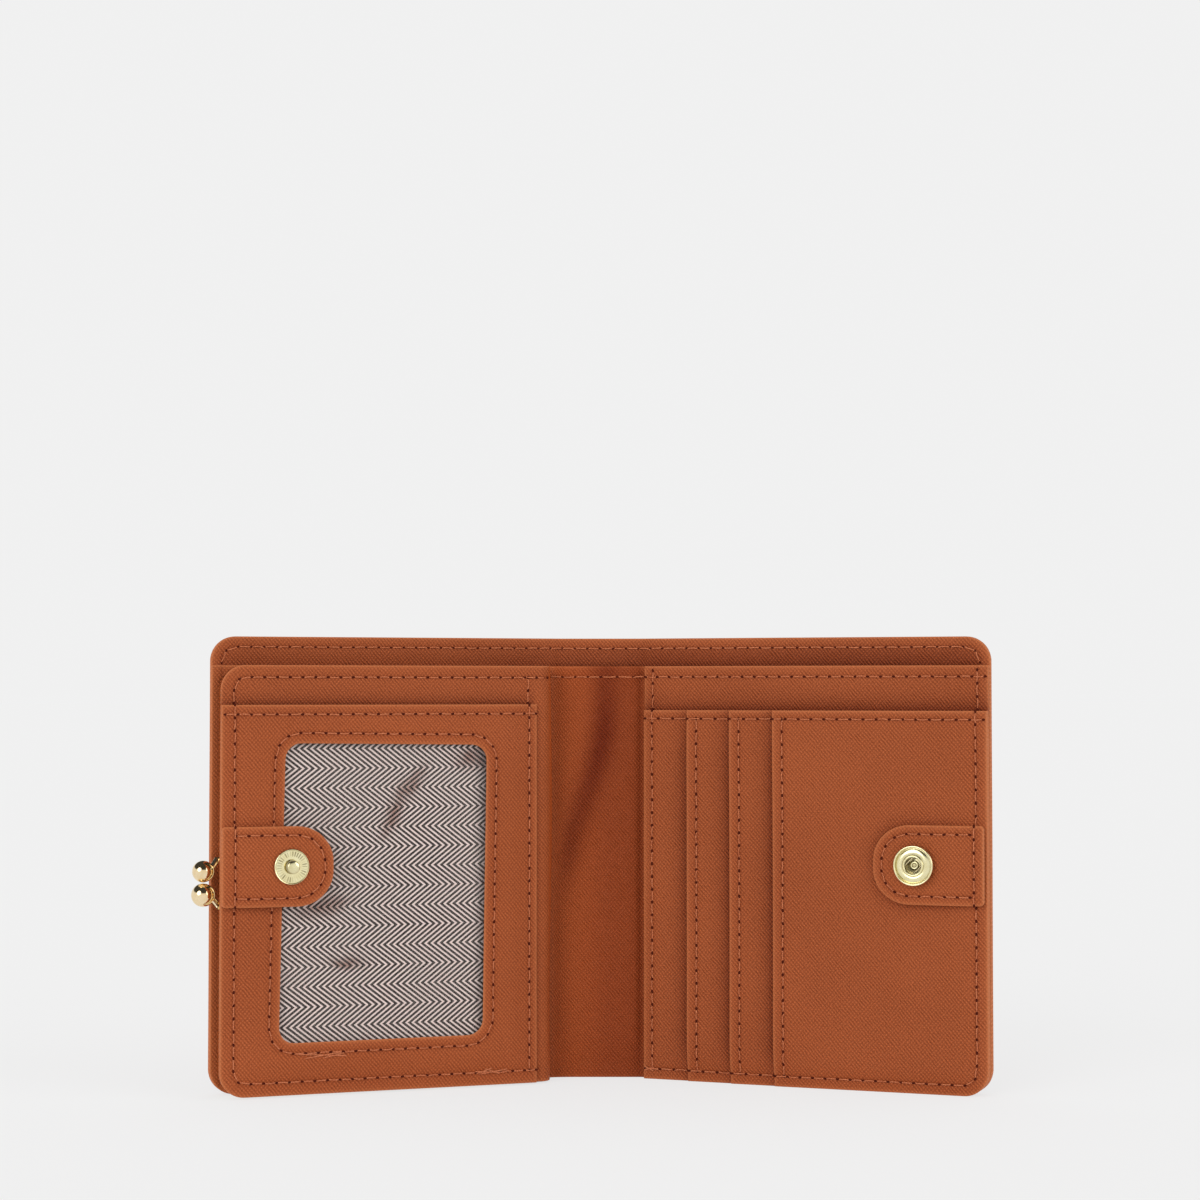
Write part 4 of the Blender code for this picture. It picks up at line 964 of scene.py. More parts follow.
def makePurseLeather():
    end = wallQ(purse["edge"])
    corner = wallet["corner"]
    panel = {"u": (0.0, end), "z": (purse["bottom"], purse["top"]), "corners": (0.0, corner, corner, 0.0)}
    bends = [backLength + share * math.pi * purseRadius for share in np.linspace(0.0, 1.0, 5)]
    q, z = panelGrid(panel, bends + [end - purse["seam"]],
                     [purse["bottom"] + purse["seam"], purse["top"] - purse["topSeam"]])
    seams = [[(wallQ(u), height) for u, height in seam] for seam in leafSeams()[:2]]
    # Painted shade on the front wall just above the pocket's top edge, and painted light round the fold, as if bounced
    # off nearby leather
    ahead = smooth((q - wallQ(0.0) - pocket["start"]) / (1.0 * mm))
    paintedShade = purse["shade"] * np.exp(-np.abs(z - pocket["top"]) / purse["shadeReach"]) * ahead
    turnedBy = (q - backLength) / purseRadius
    glow = purse["glow"] * within(turnedBy, *purse["paintedLightTurn"]) * smooth((z - 0.5 * mm) / (3.0 * mm))
    piece = makeSheet("purse_leather", (q, z), edgeDistance(panel, q, z), -purse["thickness"] / 2, purse["thickness"],
                      foldedPlace, seams, paintedShade=paintedShade, glow=glow)
    return blendFold(dress(piece, ("purse_fold", "purse_front_wall")))


def pocketDrop(u, z):
    sewn = np.minimum(np.minimum(purse["edge"] - u, z - purse["bottom"]), u - pocket["start"])
    return pocket["drop"] * (1.0 - smooth((sewn - pocket["dropFrom"]) / pocket["dropReach"]))


def roundedOutline(u0, u1, z0, z1, radii, step):
    corners = ((u0, z0, radii[0], 2), (u1, z0, radii[1], 3), (u1, z1, radii[2], 0), (u0, z1, radii[3], 1))
    arcSteps = 10
    points = []
    for u, z, radius, quadrant in corners:
        if not radius:
            points.append((u, z))
            continue
        centre = (u + (radius if u == u0 else -radius), z + (radius if z == z0 else -radius))
        for part in range(arcSteps + 1):
            angle = (quadrant + part / arcSteps) * math.pi / 2
            points.append((centre[0] + radius * math.cos(angle), centre[1] + radius * math.sin(angle)))
    filled = []
    for (a, b), (c, d) in zip(points, points[1:] + points[:1]):
        pieces = max(1, round(math.hypot(c - a, d - b) / step))
        filled += [(a + (c - a) * part / pieces, b + (d - b) * part / pieces) for part in range(pieces)]
    return filled


def castTo(outline, centre, angles):  # where rays from the centre meet the outline
    shape = np.array(outline + outline[:1]) - np.array(centre)
    found = []
    for angle in angles:
        ray = np.array([math.cos(angle), math.sin(angle)])
        cross = shape[:, 0] * ray[1] - shape[:, 1] * ray[0]
        along = shape @ ray
        best = 0.0
        for number in np.nonzero(cross[:-1] * cross[1:] <= 0.0)[0]:
            gap = cross[number] - cross[number + 1]
            share = cross[number] / gap if abs(gap) > 1e-15 else 0.0
            best = max(best, along[number] + share * (along[number + 1] - along[number]))
        found.append((centre[0] + ray[0] * best, centre[1] + ray[1] * best))
    return np.array(found)


def ringGrid(outer, inner, centre, marks, step):
    angles = [math.atan2(z - centre[1], u - centre[0]) for u, z in outer]
    outside = np.array(outer)
    inside = castTo(inner, centre, angles)
    width = np.hypot(*(outside - inside).T).mean()
    shares = spaced(0.0, width, step, marks)[:, None, None] / width
    grid = outside + shares * (inside - outside)
    return grid[..., 0], grid[..., 1]


def makePocketPanel():
    u0, u1, z0, z1 = pocket["window"]
    radii = (0.0, wallet["corner"], 0.0, 0.0)
    rounded = (pocket["round"],) * 4
    outer = roundedOutline(pocket["start"], purse["edge"], purse["bottom"], pocket["top"], radii, 1.2 * mm)
    inner = leanedPath(roundedOutline(u0, u1, z0, z1, rounded, 1.0 * mm))
    u, z = ringGrid(outer, inner, ((u0 + u1) / 2, (z0 + z1) / 2), [10.0 * mm], 0.85 * mm)
    panel = {"u": (pocket["start"], purse["edge"]), "z": (purse["bottom"], pocket["top"]), "corners": radii}
    opening = {"u": (u0, u1), "z": (z0, z1), "corners": rounded}
    square = leaned(u.ravel(), z.ravel(), -1.0)
    outward = -signedDistance(opening, *(value.reshape(u.shape) for value in square))
    distance = np.minimum(edgeDistance(panel, u, z), np.maximum(outward, 0.0))
    # Painted shade round the strap tab's outline
    piece = makeSheet("identity_pocket", (u, z), distance, pocket["low"] - pocketDrop(u, z), pocket["thickness"],
                      onLeft, leafSeams(), wrap=True, paintedShade=pocket["tabShade"] * tabShadeMask(u, z))
    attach(dress(piece, ("id_pocket_panel",)), "purse_front")
    return piece


def plainSheet(name, panel, low, thick, body, material, nodes, dropShare=0.0):
    u, z = panelGrid(panel)
    piece = makeSheet(name, (u, z), edgeDistance(panel, u, z), low - dropShare * pocketDrop(u, z), thick, onLeft, (),
                      material, 0.2 * mm, edgeRound=0.4)
    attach(dress(piece, nodes), body)
    return piece, (panel["u"][1] - panel["u"][0], panel["z"][1] - panel["z"][0])


def makeLeaf():
    leaf = [makePurseLeather()]
    inset = windowLining["inset"]
    panel = {"u": (pocket["start"] + inset, purse["edge"] - inset),
             "z": (purse["bottom"] + inset, pocket["top"] - inset),
             "corners": (0.0, wallet["corner"] - inset, 0.0, 0.0)}
    backing, flat = plainSheet("window_backing", panel, windowLining["low"], windowLining["thickness"], "purse_front",
                               windowCloth, ("window_lining",), windowLining["dropShare"])
    u0, u1, z0, z1 = pocket["window"]
    border = windowFilm["border"]
    panel = {"u": (u0 - border, u1 + border), "z": (z0 - border, z1 + border),
             "corners": (pocket["round"] + border,) * 4}
    plainSheet("window_pane", panel, windowFilm["low"], windowFilm["thickness"], "purse_front", film,
               ("window_film",))
    leaf.append(makePocketPanel())
    for side, body, rest in (("front", "purse_front", "purse_leather"), ("back", "back_half", "note_divider_left")):
        cloth, flat = plainSheet("purse_lining_" + side, purseLining[side + "Panel"], purseLining[side],
                                 purseLining["thickness"], body, purseCloth,
                                 ("purse_%s_lining" % side,))
    return leaf


leafPieces = makeLeaf()
print("wallet: coin purse leather and window made")


# Cloth pleats between the arms of the purse frame

gusset = {"start": 20.8 * mm, "end": 62.8 * mm, "back": 5.8 * mm, "front": 8.9 * mm, "lip": 99.0 * mm,
          "seat": 1.4 * mm, "depth": (7.0 * mm, 11.0 * mm), "thickness": 0.3 * mm, "ripple": 0.12 * mm,
          "rippleLength": 2.3 * mm, "rows": 30, "columns": 41, "bendFrom": 0.75 * mm, "bendTo": 0.6 * mm}


def makeGusset(name, node, flip):
    run = np.linspace(gusset["start"], gusset["end"], gusset["rows"])
    depth = np.linspace(*gusset["depth"], gusset["rows"])
    steps = np.linspace(-1.0, 1.0, gusset["columns"])
    fall = smooth((1.0 - np.abs(steps)) / 0.97)
    across = np.sign(steps) * smooth(np.abs(steps) / 0.45) * (gusset["front"] - gusset["back"]) / 2
    z = gusset["lip"] + gusset["seat"] - fall[None, :] * (depth[:, None] + gusset["seat"])
    t = (gusset["front"] + gusset["back"]) / 2 + across[None, :] + 0.0 * z
    u = run[:, None] + 0.0 * z
    z = z + gusset["ripple"] * np.sin(u / gusset["rippleLength"]) * fall[None, :]
    if flip:
        z = purse["bottom"] + purse["top"] - z
    flat = np.cumsum(np.hypot(np.diff(z[0], prepend=z[0, 0]), np.diff(t[0], prepend=t[0, 0])))
    slopeT, slopeZ = np.gradient(t, axis=1), np.gradient(z, axis=1)
    size = np.hypot(slopeT, slopeZ)

    def place(a, b, offset):
        return onLeft(u, z - slopeT / size * offset, t + slopeZ / size * offset)

    half = gusset["thickness"] / 2 + 0.0 * z
    grain = (u, flat[None, :] + 0.0 * u)
    piece = closeSheet(name, u, z, -half, half, place, {"rim": 0.0}, purseCloth, grain=grain)
    dress(piece, (node,))
    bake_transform(piece)


makeGusset("purse_pleat_top", "purse_gusset_top", False)
makeGusset("purse_pleat_bottom", "purse_gusset_bottom", True)
print("wallet: pleats made")


# Strap tabs

tabKinds = {"stud": {"place": onLeft, "low": 13.5 * mm, "body": "stud_tab", "sewnTo": "purse_front"},
            "socket": {"place": onRight, "low": 8.0 * mm, "body": "socket_tab", "sewnTo": "front_half"}}
tabLow, tabHigh = tabs["height"] - tabs["width"] / 2, tabs["height"] + tabs["width"] / 2


def tabDrop(kind, u):  # down to its panel at the root, and up at the tip
    rooted = smooth((u - tabs["rootStart"]) / tabs["rootEase"])
    lifted = 1.0 - smooth((u - tabs["tip"]) / tabs["liftEase"])
    return tabs["rootDrop"][kind] * rooted - tabs["lift"] * lifted


def faceLevel(kind):
    return tabKinds[kind]["low"] + tabs["backing"]["thickness"] + tabs["gap"]


def tabSeam(kind):
    low, high = tabLow + tabs["seam"], tabHigh - tabs["seam"]
    tip, root = tabs["tip"] + tabs["seam"], tabs["edge"] - tabs["rootSeam"]
    across = root + tabs["crossSeam"][kind]
    return [routed([(root, low), (tip, low), (tip, high), (root, high)], tabs["endRound"] - tabs["seam"]),
            [(across, low - tabs["crossOver"]), (across, high + tabs["crossOver"])]]


def tabPoint(kind, u, level):
    return tabKinds[kind]["place"](np.array(u), np.array(tabs["height"]), np.array(level))


def blendTab(kind, piece):
    root, free = (tuple(tabPoint(kind, tabs["edge"] + bend, tabKinds[kind]["low"]).tolist()) for bend in tabs["bend"])
    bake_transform(piece)


def makeTab(kind):
    centre = (tabs["snap"], tabs["height"])
    radii = (tabs["endRound"], tabs["rootRound"], tabs["rootRound"], tabs["endRound"])
    outer = roundedOutline(tabs["tip"], tabs["edge"], tabLow, tabHigh, radii, 0.8 * mm)
    panel = {"u": (tabs["tip"], tabs["edge"]), "z": (tabLow, tabHigh), "corners": radii}
    for layer, level in (("backing", tabKinds[kind]["low"]), ("face", faceLevel(kind))):
        bore = tabs[layer]["bore"]
        circle = [(centre[0] + bore * math.cos(angle), centre[1] + bore * math.sin(angle))
                  for angle in np.linspace(0.0, 2 * math.pi, 97)[:-1]]
        u, z = ringGrid(outer, circle, centre, [tabs["seam"]], 0.4 * mm)
        around = edgeDistance(panel, u, z)
        distance = np.minimum(around, np.maximum(np.hypot(u - centre[0], z - centre[1]) - bore, 0.0))
        seams, swell = (), 0.0
        if layer == "face":
            seams, swell = tabSeam(kind), tabs["swell"] * smooth(around / tabs["swellReach"])
        piece = makeSheet(kind + "_strap_" + layer, (u, z), distance, level - tabDrop(kind, u),
                          tabs[layer]["thickness"], tabKinds[kind]["place"], seams, wrap=True, swell=swell)
        blendTab(kind, dress(piece, (kind + "_tab_" + layer,)))
    return piece


tabFaces = {kind: makeTab(kind) for kind in tabKinds}
print("wallet: strap tabs made")


# Snap. A profile's points give the radius and the height in mm, and how tarnished the metal is there.

snap = {"rays": 33, "rayDepth": 0.02 * mm, "rayInside": 2.35 * mm, "rayOutside": 3.75 * mm, "rayTarnish": 0.7,
        "ends": 6, "round": 144, "studRound": 440, "capRound": 96, "sharp": 38.0,
        "springLevel": 1.86 * mm, "springReach": 2.3 * mm, "springOffset": 1.45 * mm, "springTurn": math.radians(45.0),
        "springWire": 0.2 * mm}
shank = [(1.6, -0.66), (0.95, -0.66), (0.95, 0.3), (0.0, 0.3)]


def ringFaces(rows, columns):
    index = np.arange(rows * columns).reshape(rows, columns)
    index = np.concatenate([index, index[:, :1]], axis=1)
    return np.stack([index[:-1, :-1], index[:-1, 1:], index[1:, 1:], index[1:, :-1]], axis=-1).reshape(-1, 4)


def merged(mesh):
    work = bmesh.new()
    work.from_mesh(mesh)
    bmesh.ops.remove_doubles(work, verts=work.verts, dist=1e-7)
    bmesh.ops.recalc_face_normals(work, faces=work.faces)
    work.to_mesh(mesh)
    work.free()
    return mesh


def turnedPiece(name, node, profile, kind, level, segments, ridge=None):
    rows = np.array([point if len(point) == 3 else (*point, 0.0) for point in profile])
    radius, height, patina = rows[:, 0:1] * mm, rows[:, 1:2] * mm, rows[:, 2:3]
    angle = np.linspace(0.0, 2 * math.pi, segments + 1)[None, :-1]
    if ridge:
        cut = ridge(radius, angle) * (np.arange(len(rows)) < len(rows) - snap["ends"])[:, None]
        height, patina = height - snap["rayDepth"] * cut, patina + snap["rayTarnish"] * cut
    foot, above = (tabPoint(kind, tabs["snap"], level + step) for step in (0.0, mm))
    inward = (above - foot) / np.linalg.norm(above - foot)
    along, upward = np.array([-inward[1], inward[0], 0.0]), np.array([0.0, 0.0, 1.0])
    points = (foot + (radius * np.cos(angle))[..., None] * along + (radius * np.sin(angle))[..., None] * upward +
              (height + 0.0 * angle)[..., None] * inward)
    mesh = bpy.data.meshes.new(name)
    mesh.from_pydata(points.reshape(-1, 3).tolist(), [], ringFaces(len(rows), segments).tolist())
    tarnish = np.clip(patina + 0.0 * angle, 0.0, 1.0).ravel().astype(np.float32)
    mesh.attributes.new("patina", "FLOAT", "POINT").data.foreach_set("value", tarnish)
    piece = finishMesh(name, merged(mesh), champagne, snap["sharp"])
    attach(dress(piece, (node,)), tabKinds[kind]["body"])


def arcProfile(middle, level, radius, start, end, steps):
    angles = np.radians(np.linspace(start, end, steps + 1))
    return [(max(0.0, middle + radius * math.cos(angle)), level + radius * math.sin(angle)) for angle in angles]


def studRays(radius, angle):
    band = within(radius, snap["rayInside"], 0.25 * mm, snap["rayOutside"], 0.2 * mm)
    beat = 0.55 + 0.45 * np.sin(7.0 * angle + 2.0 * np.sin(3.0 * angle))
    return band * smooth(0.5 + 0.9 * np.cos(snap["rays"] * angle)) * beat


def makeStud():
    level = faceLevel("stud") + tabs["face"]["thickness"]
    profile = [(0.0, 2.9)]
    profile += [(1.5 * math.sin(math.radians(angle)), 2.15 + 0.375 * (1 + math.cos(math.radians(angle))),
                 0.10 + 0.35 * (angle / 96) ** 3) for angle in range(8, 97, 8)]  # the head
    profile += [(1.44, 2.31, 0.5), (1.25, 2.19, 0.5), (1.05, 2.10, 0.45), (1.02, 1.75, 0.4), (1.04, 1.05, 0.4),
                (1.12, 0.85, 0.6), (1.3, 0.77, 0.6), (1.56, 0.72, 0.5), (1.66, 0.74, 0.1), (1.9, 0.75, 0.0)]  # the neck
    profile += [(radius, 0.75, 0.0) for radius in np.arange(2.1, 3.8, 0.15)]  # the flange, with its fine rays
    profile += [(3.86, 0.72, 0.3), (3.93, 0.72, 0.2), (4.0, 0.82), (4.1, 0.85), (4.2, 0.78), (4.27, 0.65),
                (4.3, 0.53, 0.2), (4.28, 0.3, 0.4), (4.1, 0.16, 0.6), (1.6, 0.14)]  # its rim and underside
    turnedPiece("snap_stud_plate", "snap_stud", profile + shank, "stud", level, snap["studRound"], studRays)


def makeSocket():
    level = faceLevel("socket") + tabs["face"]["thickness"]
    profile = [(0.0, 0.62, 0.4), (0.42, 0.60, 0.6), (0.52, 0.76, 0.2), (0.68, 0.82, 0.1), (0.95, 0.79, 0.2),
               (1.1, 0.65, 0.5), (1.3, 0.60, 0.5), (1.98, 0.58, 0.55)]  # the floor of the bore
    profile += [(2.0, 1.5, 0.5), (3.28, 1.52, 1.0), (3.3, 2.16, 1.0), (2.02, 2.19, 0.6), (1.99, 2.26, 0.45),
                (1.99, 2.40, 0.3)]  # the groove that the spring lies in
    profile += arcProfile(2.28, 2.40, 0.27, 180.0, 0.0, 12)
    profile += [(2.57, 2.34, 0.35), (2.64, 2.29, 0.5), (2.74, 2.30, 0.3), (2.9, 2.34, 0.12), (3.2, 2.35, 0.06),
                (3.5, 2.31, 0.06), (3.8, 2.21, 0.08), (4.05, 2.08, 0.2), (4.2, 2.0, 0.4), (4.28, 2.0, 0.5),
                (4.34, 2.12, 0.2)]  # the ring's face, between its two beads
    profile += arcProfile(4.59, 2.24, 0.25, 155.0, 0.0, 10)
    profile += [(4.85, 2.0, 0.1), (4.85, 0.6, 0.3), (4.6, 0.2, 0.6), (1.6, 0.16)]
    turnedPiece("snap_socket_ring", "snap_socket", profile + shank, "socket", level, snap["round"])
    return level + snap["springLevel"]


def makeCap(kind):
    profile = [(0.0, 0.62), (0.5, 0.62), (0.64, 0.5), (0.65, -0.36), (3.3, -0.36), (3.46, -0.44), (3.5, -0.58),
               (3.42, -0.72), (3.1, -0.79), (0.0, -0.80)]
    turnedPiece(kind + "_cap", "snap_%s_cap" % kind, profile, kind, faceLevel(kind), snap["capRound"])


def tube(points, radius, sides=12, squash=1.0):
    points = [Vector(point) for point in points]
    rings = []
    normal = (points[1] - points[0]).normalized().orthogonal().normalized()
    for number, point in enumerate(points):
        ahead = (points[min(number + 1, len(points) - 1)] - points[max(number - 1, 0)]).normalized()
        normal = (normal - ahead * normal.dot(ahead)).normalized()
        side = ahead.cross(normal)
        rings.append([point + normal * math.cos(turn) * radius + side * math.sin(turn) * radius * squash
                      for turn in np.linspace(0.0, 2 * math.pi, sides + 1)[:-1]])
    last = (len(rings) - 1) * sides
    caps = [list(range(sides))[::-1], list(range(last, last + sides))]
    return [corner for ring in rings for corner in ring], ringFaces(len(rings), sides).tolist() + caps


def meshPiece(name, parts, material, sharp=40.0):
    mesh = bpy.data.meshes.new(name)
    vertices, faces = [], []
    for corners, sides in parts:
        faces += [[number + len(vertices) for number in side] for side in sides]
        vertices += [tuple(corner) for corner in corners]
    mesh.from_pydata(vertices, [], faces)
    return finishMesh(name, merged(mesh), material, sharp)


def makeSpring(level):
    reach, offset, turn = snap["springReach"], snap["springOffset"], snap["springTurn"]
    line = [(-reach, offset)]
    line += [(reach - offset + offset * math.cos(angle), offset * math.sin(angle))
             for angle in np.linspace(math.pi / 2, -math.pi / 2, 25)]
    line.append((-reach, -offset))
    points = [onRight(np.array(tabs["snap"] + x * math.cos(turn) - y * math.sin(turn)),
                      np.array(tabs["height"] + x * math.sin(turn) + y * math.cos(turn)), np.array(level))
              for x, y in line]
    piece = meshPiece("snap_spring", [tube(points, snap["springWire"])], wire)
    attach(dress(piece, ("socket_spring",)), "socket_tab")


makeStud()
makeSpring(makeSocket())
for kind in tabKinds:
    makeCap(kind)
print("wallet: snap made")


# Purse frame, rivets and clasp

clasp = {"ball": {"back": 2.6 * mm, "front": 2.8 * mm}, "u": 90.7 * mm, "t": 7.35 * mm, "middle": 51.0 * mm,
         "apart": 5.6 * mm, "stem": 0.66 * mm, "stemSquash": 0.6, "stemPoints": 15, "spread": 3.0 * mm,
         "foot": 87.0 * mm, "levels": {"back": 5.8 * mm, "front": 8.9 * mm}, "sharp": 60.0, "stemSides": 20,
         "ballSteps": (56, 32)}
softEdge = {"frame": 0.09 * mm, "rivet": 0.05 * mm, "steps": 2, "from": math.radians(40.0), "sharp": 35.0,
            "flat": math.radians(0.5)}


def polished(node, name, body, width):  # a copy of the solid with soft edges
    mesh = frame["nodes"][node].data.copy()
    work = bmesh.new()
    work.from_mesh(mesh)
    bmesh.ops.remove_doubles(work, verts=work.verts, dist=1e-6)
    bmesh.ops.dissolve_limit(work, angle_limit=softEdge["flat"], verts=work.verts, edges=work.edges)
    work.to_mesh(mesh)
    work.free()
    mesh.materials.clear()
    piece = finishMesh(name, mesh, gold, softEdge["sharp"])
    bevel = piece.modifiers.new("soft edge", "BEVEL")
    bevel.width = width
    bevel.segments = softEdge["steps"]
    bevel.limit_method = "ANGLE"
    bevel.angle_limit = softEdge["from"]
    bevel.harden_normals = True
    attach(dress(piece, (node,)), body)


def plainLeft(u, z, t):
    return Vector((leftCrease[0] - u, leftCrease[1] - (t - wallet["creaseLevel"]), z))


def makeBall(side, body, way):
    height = clasp["middle"] + way * clasp["apart"] / 2
    centre = plainLeft(clasp["u"], height, clasp["t"])
    work = bmesh.new()
    around, up = clasp["ballSteps"]
    bmesh.ops.create_uvsphere(work, u_segments=around, v_segments=up, radius=clasp["ball"][side])
    vertices = [vertex.co + centre for vertex in work.verts]
    faces = sorted(tuple(vertex.index for vertex in face.verts) for face in work.faces)  # a sphere's order varies
    work.free()
    stem = []
    for share in np.linspace(0.0, 1.0, clasp["stemPoints"]):
        out = math.sin(math.pi / 2 * share)
        u = clasp["u"] + (clasp["foot"] - clasp["u"]) * out
        t = clasp["t"] + (clasp["levels"][side] - clasp["t"]) * share
        stem.append(plainLeft(u, height + way * clasp["spread"] * out ** 2, t))
    parts = [(vertices, faces), tube(stem, clasp["stem"], clasp["stemSides"], clasp["stemSquash"])]
    piece = meshPiece("clasp_ball_" + side + "_gold", parts, gold, clasp["sharp"])
    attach(dress(piece, ("clasp_ball_" + side,)), body)


polished("purse_frame_back", "frame_channel_back", "back_half", softEdge["frame"])
polished("purse_frame_front", "frame_channel_front", "purse_front", softEdge["frame"])
polished("pivot_rivet_top", "rivet_top", "back_half", softEdge["rivet"])
polished("pivot_rivet_bottom", "rivet_bottom", "back_half", softEdge["rivet"])
makeBall("back", "back_half", 1.0)
makeBall("front", "purse_front", -1.0)
print("wallet: purse frame and clasp made")


# Stitches, laid by geometry nodes along paths on the leather

def faced(start, along, upward):  # a rotation that turns x along the seam and z out of the leather
    heading = start.add("FunctionNodeAlignRotationToVector", {"axis": "X"}, {"Vector": along})
    return start.add("FunctionNodeAlignRotationToVector", {"axis": "Z", "pivot_axis": "X"},
                     {"Rotation": heading, "Vector": upward})


def randomVector(start, low, high, seed):
    return start.add("FunctionNodeRandomValue", {"data_type": "FLOAT_VECTOR"}, {0: low, 1: high, "Seed": seed})


def stitchTree():
    tree = bpy.data.node_groups.new("running_stitch", "GeometryNodeTree")
    sockets = (("Path", "NodeSocketGeometry"), ("Pitch", "NodeSocketFloat"), ("Thread Radius", "NodeSocketFloat"),
               ("Hole Radius", "NodeSocketFloat"), ("Rise", "NodeSocketFloat"), ("Drop", "NodeSocketFloat"),
               ("Seed", "NodeSocketInt"), ("Thread", "NodeSocketMaterial"), ("Hole", "NodeSocketMaterial"))
    for label, kind in sockets:
        tree.interface.new_socket(label, in_out="INPUT", socket_type=kind)
    tree.interface.new_socket("Stitches", in_out="OUTPUT", socket_type="NodeSocketGeometry")
    start = Flow(tree)
    given = start.add("NodeGroupInput")
    curve = start.add("GeometryNodeMeshToCurve", {}, {"Mesh": given})
    even = start.add("GeometryNodeResampleCurve", {"mode": "LENGTH"}, {"Curve": curve, "Length": given.other("Pitch")})
    upward = start.add("GeometryNodeInputNamedAttribute", {"data_type": "FLOAT_VECTOR"}, {"Name": "outward"})

    # A point in the middle of each stitch, which knows the way from hole to hole
    chain = start.add("GeometryNodeCurveToMesh", {}, {"Curve": even})
    ends = start.add("GeometryNodeInputMeshEdgeVertices", {}, {}, "Position 1")
    step = start.add("ShaderNodeVectorMath", {"operation": "SUBTRACT"}, {0: ends.other("Position 2"), 1: ends})
    chain = start.add("GeometryNodeStoreNamedAttribute", {"data_type": "FLOAT_VECTOR", "domain": "EDGE"},
                      {"Geometry": chain, "Name": "along", "Value": step})
    spots = start.add("GeometryNodeMeshToPoints", {"mode": "EDGES"}, {"Mesh": chain})
    along = start.add("GeometryNodeInputNamedAttribute", {"data_type": "FLOAT_VECTOR"}, {"Name": "along"})
    length = start.add("ShaderNodeVectorMath", {"operation": "LENGTH"}, {0: along}, "Value")

    # One bowed piece of thread, of length 1, on each of them
    sunk = given.other("Drop") * -1.0
    first = start.add("ShaderNodeCombineXYZ", {}, {"X": -0.5, "Z": sunk})
    peak = start.add("ShaderNodeCombineXYZ", {}, {"Z": given.other("Rise")})
    last = start.add("ShaderNodeCombineXYZ", {}, {"X": 0.5, "Z": sunk})
    bow = start.add("GeometryNodeCurveQuadraticBezier", {},
                    {"Resolution": 6, "Start": first, "Middle": peak, "End": last})
    ring = start.add("GeometryNodeCurvePrimitiveCircle", {}, {"Resolution": 6, "Radius": given.other("Thread Radius")})
    loop = start.add("GeometryNodeCurveToMesh", {}, {"Curve": bow, "Profile Curve": ring, "Fill Caps": True})
    size = start.add("ShaderNodeCombineXYZ", {}, {"X": length, "Y": 1.0, "Z": 1.0})
    threads = start.add("GeometryNodeInstanceOnPoints", {},
                        {"Points": spots, "Instance": loop, "Rotation": faced(start, along, upward), "Scale": size})
    seed = given.other("Seed")
    sway = randomVector(start, tuple(-value for value in stitch["turn"]), stitch["turn"], seed)
    threads = start.add("GeometryNodeRotateInstances", {}, {"Instances": threads, "Rotation": sway})
    shift = randomVector(start, *stitch["shift"], seed + 1.0)
    threads = start.add("GeometryNodeTranslateInstances", {}, {"Instances": threads, "Translation": shift})

    # A flat dot for each needle hole, whose dark colour is painted shade inside the hole
    dot = start.add("GeometryNodeMeshUVSphere", {}, {"Segments": 10, "Rings": 5, "Radius": given.other("Hole Radius")})
    dot = start.add("GeometryNodeTransform", {}, {"Geometry": dot, "Scale": stitch["holeShape"]})
    dot = start.add("GeometryNodeStoreNamedAttribute", {"data_type": "BOOLEAN", "domain": "FACE"},
                    {"Geometry": dot, "Name": "pierced", "Value": True})
    turn = faced(start, start.add("GeometryNodeInputTangent"), upward)
    holes = start.add("GeometryNodeInstanceOnPoints", {}, {"Points": even, "Instance": dot, "Rotation": turn})

    both = start.add("GeometryNodeJoinGeometry", {}, {"Geometry": threads})
    tree.links.new(holes.socket, both.socket.node.inputs["Geometry"])
    solid = start.add("GeometryNodeRealizeInstances", {}, {"Geometry": both})
    sewn = start.add("GeometryNodeSetMaterial", {}, {"Geometry": solid, "Material": given.other("Thread")})
    pierced = start.add("GeometryNodeInputNamedAttribute", {"data_type": "BOOLEAN"}, {"Name": "pierced"})
    done = start.add("GeometryNodeSetMaterial", {},
                     {"Geometry": sewn, "Selection": pierced, "Material": given.other("Hole")})
    start.add("NodeGroupOutput", {}, {"Stitches": done})
    return tree


stitches = stitchTree()
sewing = {"above": 30.0 * mm, "below": -6.0 * mm, "reach": 60.0 * mm, "jump": 0.25 * mm, "sample": 0.4 * mm,
          "clipSample": 0.25 * mm, "onTop": 0.03 * mm, "sharp": 60.0}


def surfaceOf(pieces):
    points, faces, first = [], [], 0
    for piece in pieces:
        mesh = piece.data
        spots = np.zeros(len(mesh.vertices) * 3)
        mesh.vertices.foreach_get("co", spots)
        points += spots.reshape(-1, 3).tolist()
        faces += [[first + number for number in face.vertices] for face in mesh.polygons]
        first = len(points)
    return BVHTree.FromPolygons(points, faces)


def sampled(path, step, least=2):
    path = np.array(path)
    run = np.concatenate([[0.0], np.cumsum(np.hypot(*np.diff(path, axis=0).T))])
    at = np.linspace(0.0, run[-1], max(least, int(run[-1] / step)))
    return np.interp(at, run, path[:, 0]), np.interp(at, run, path[:, 1])


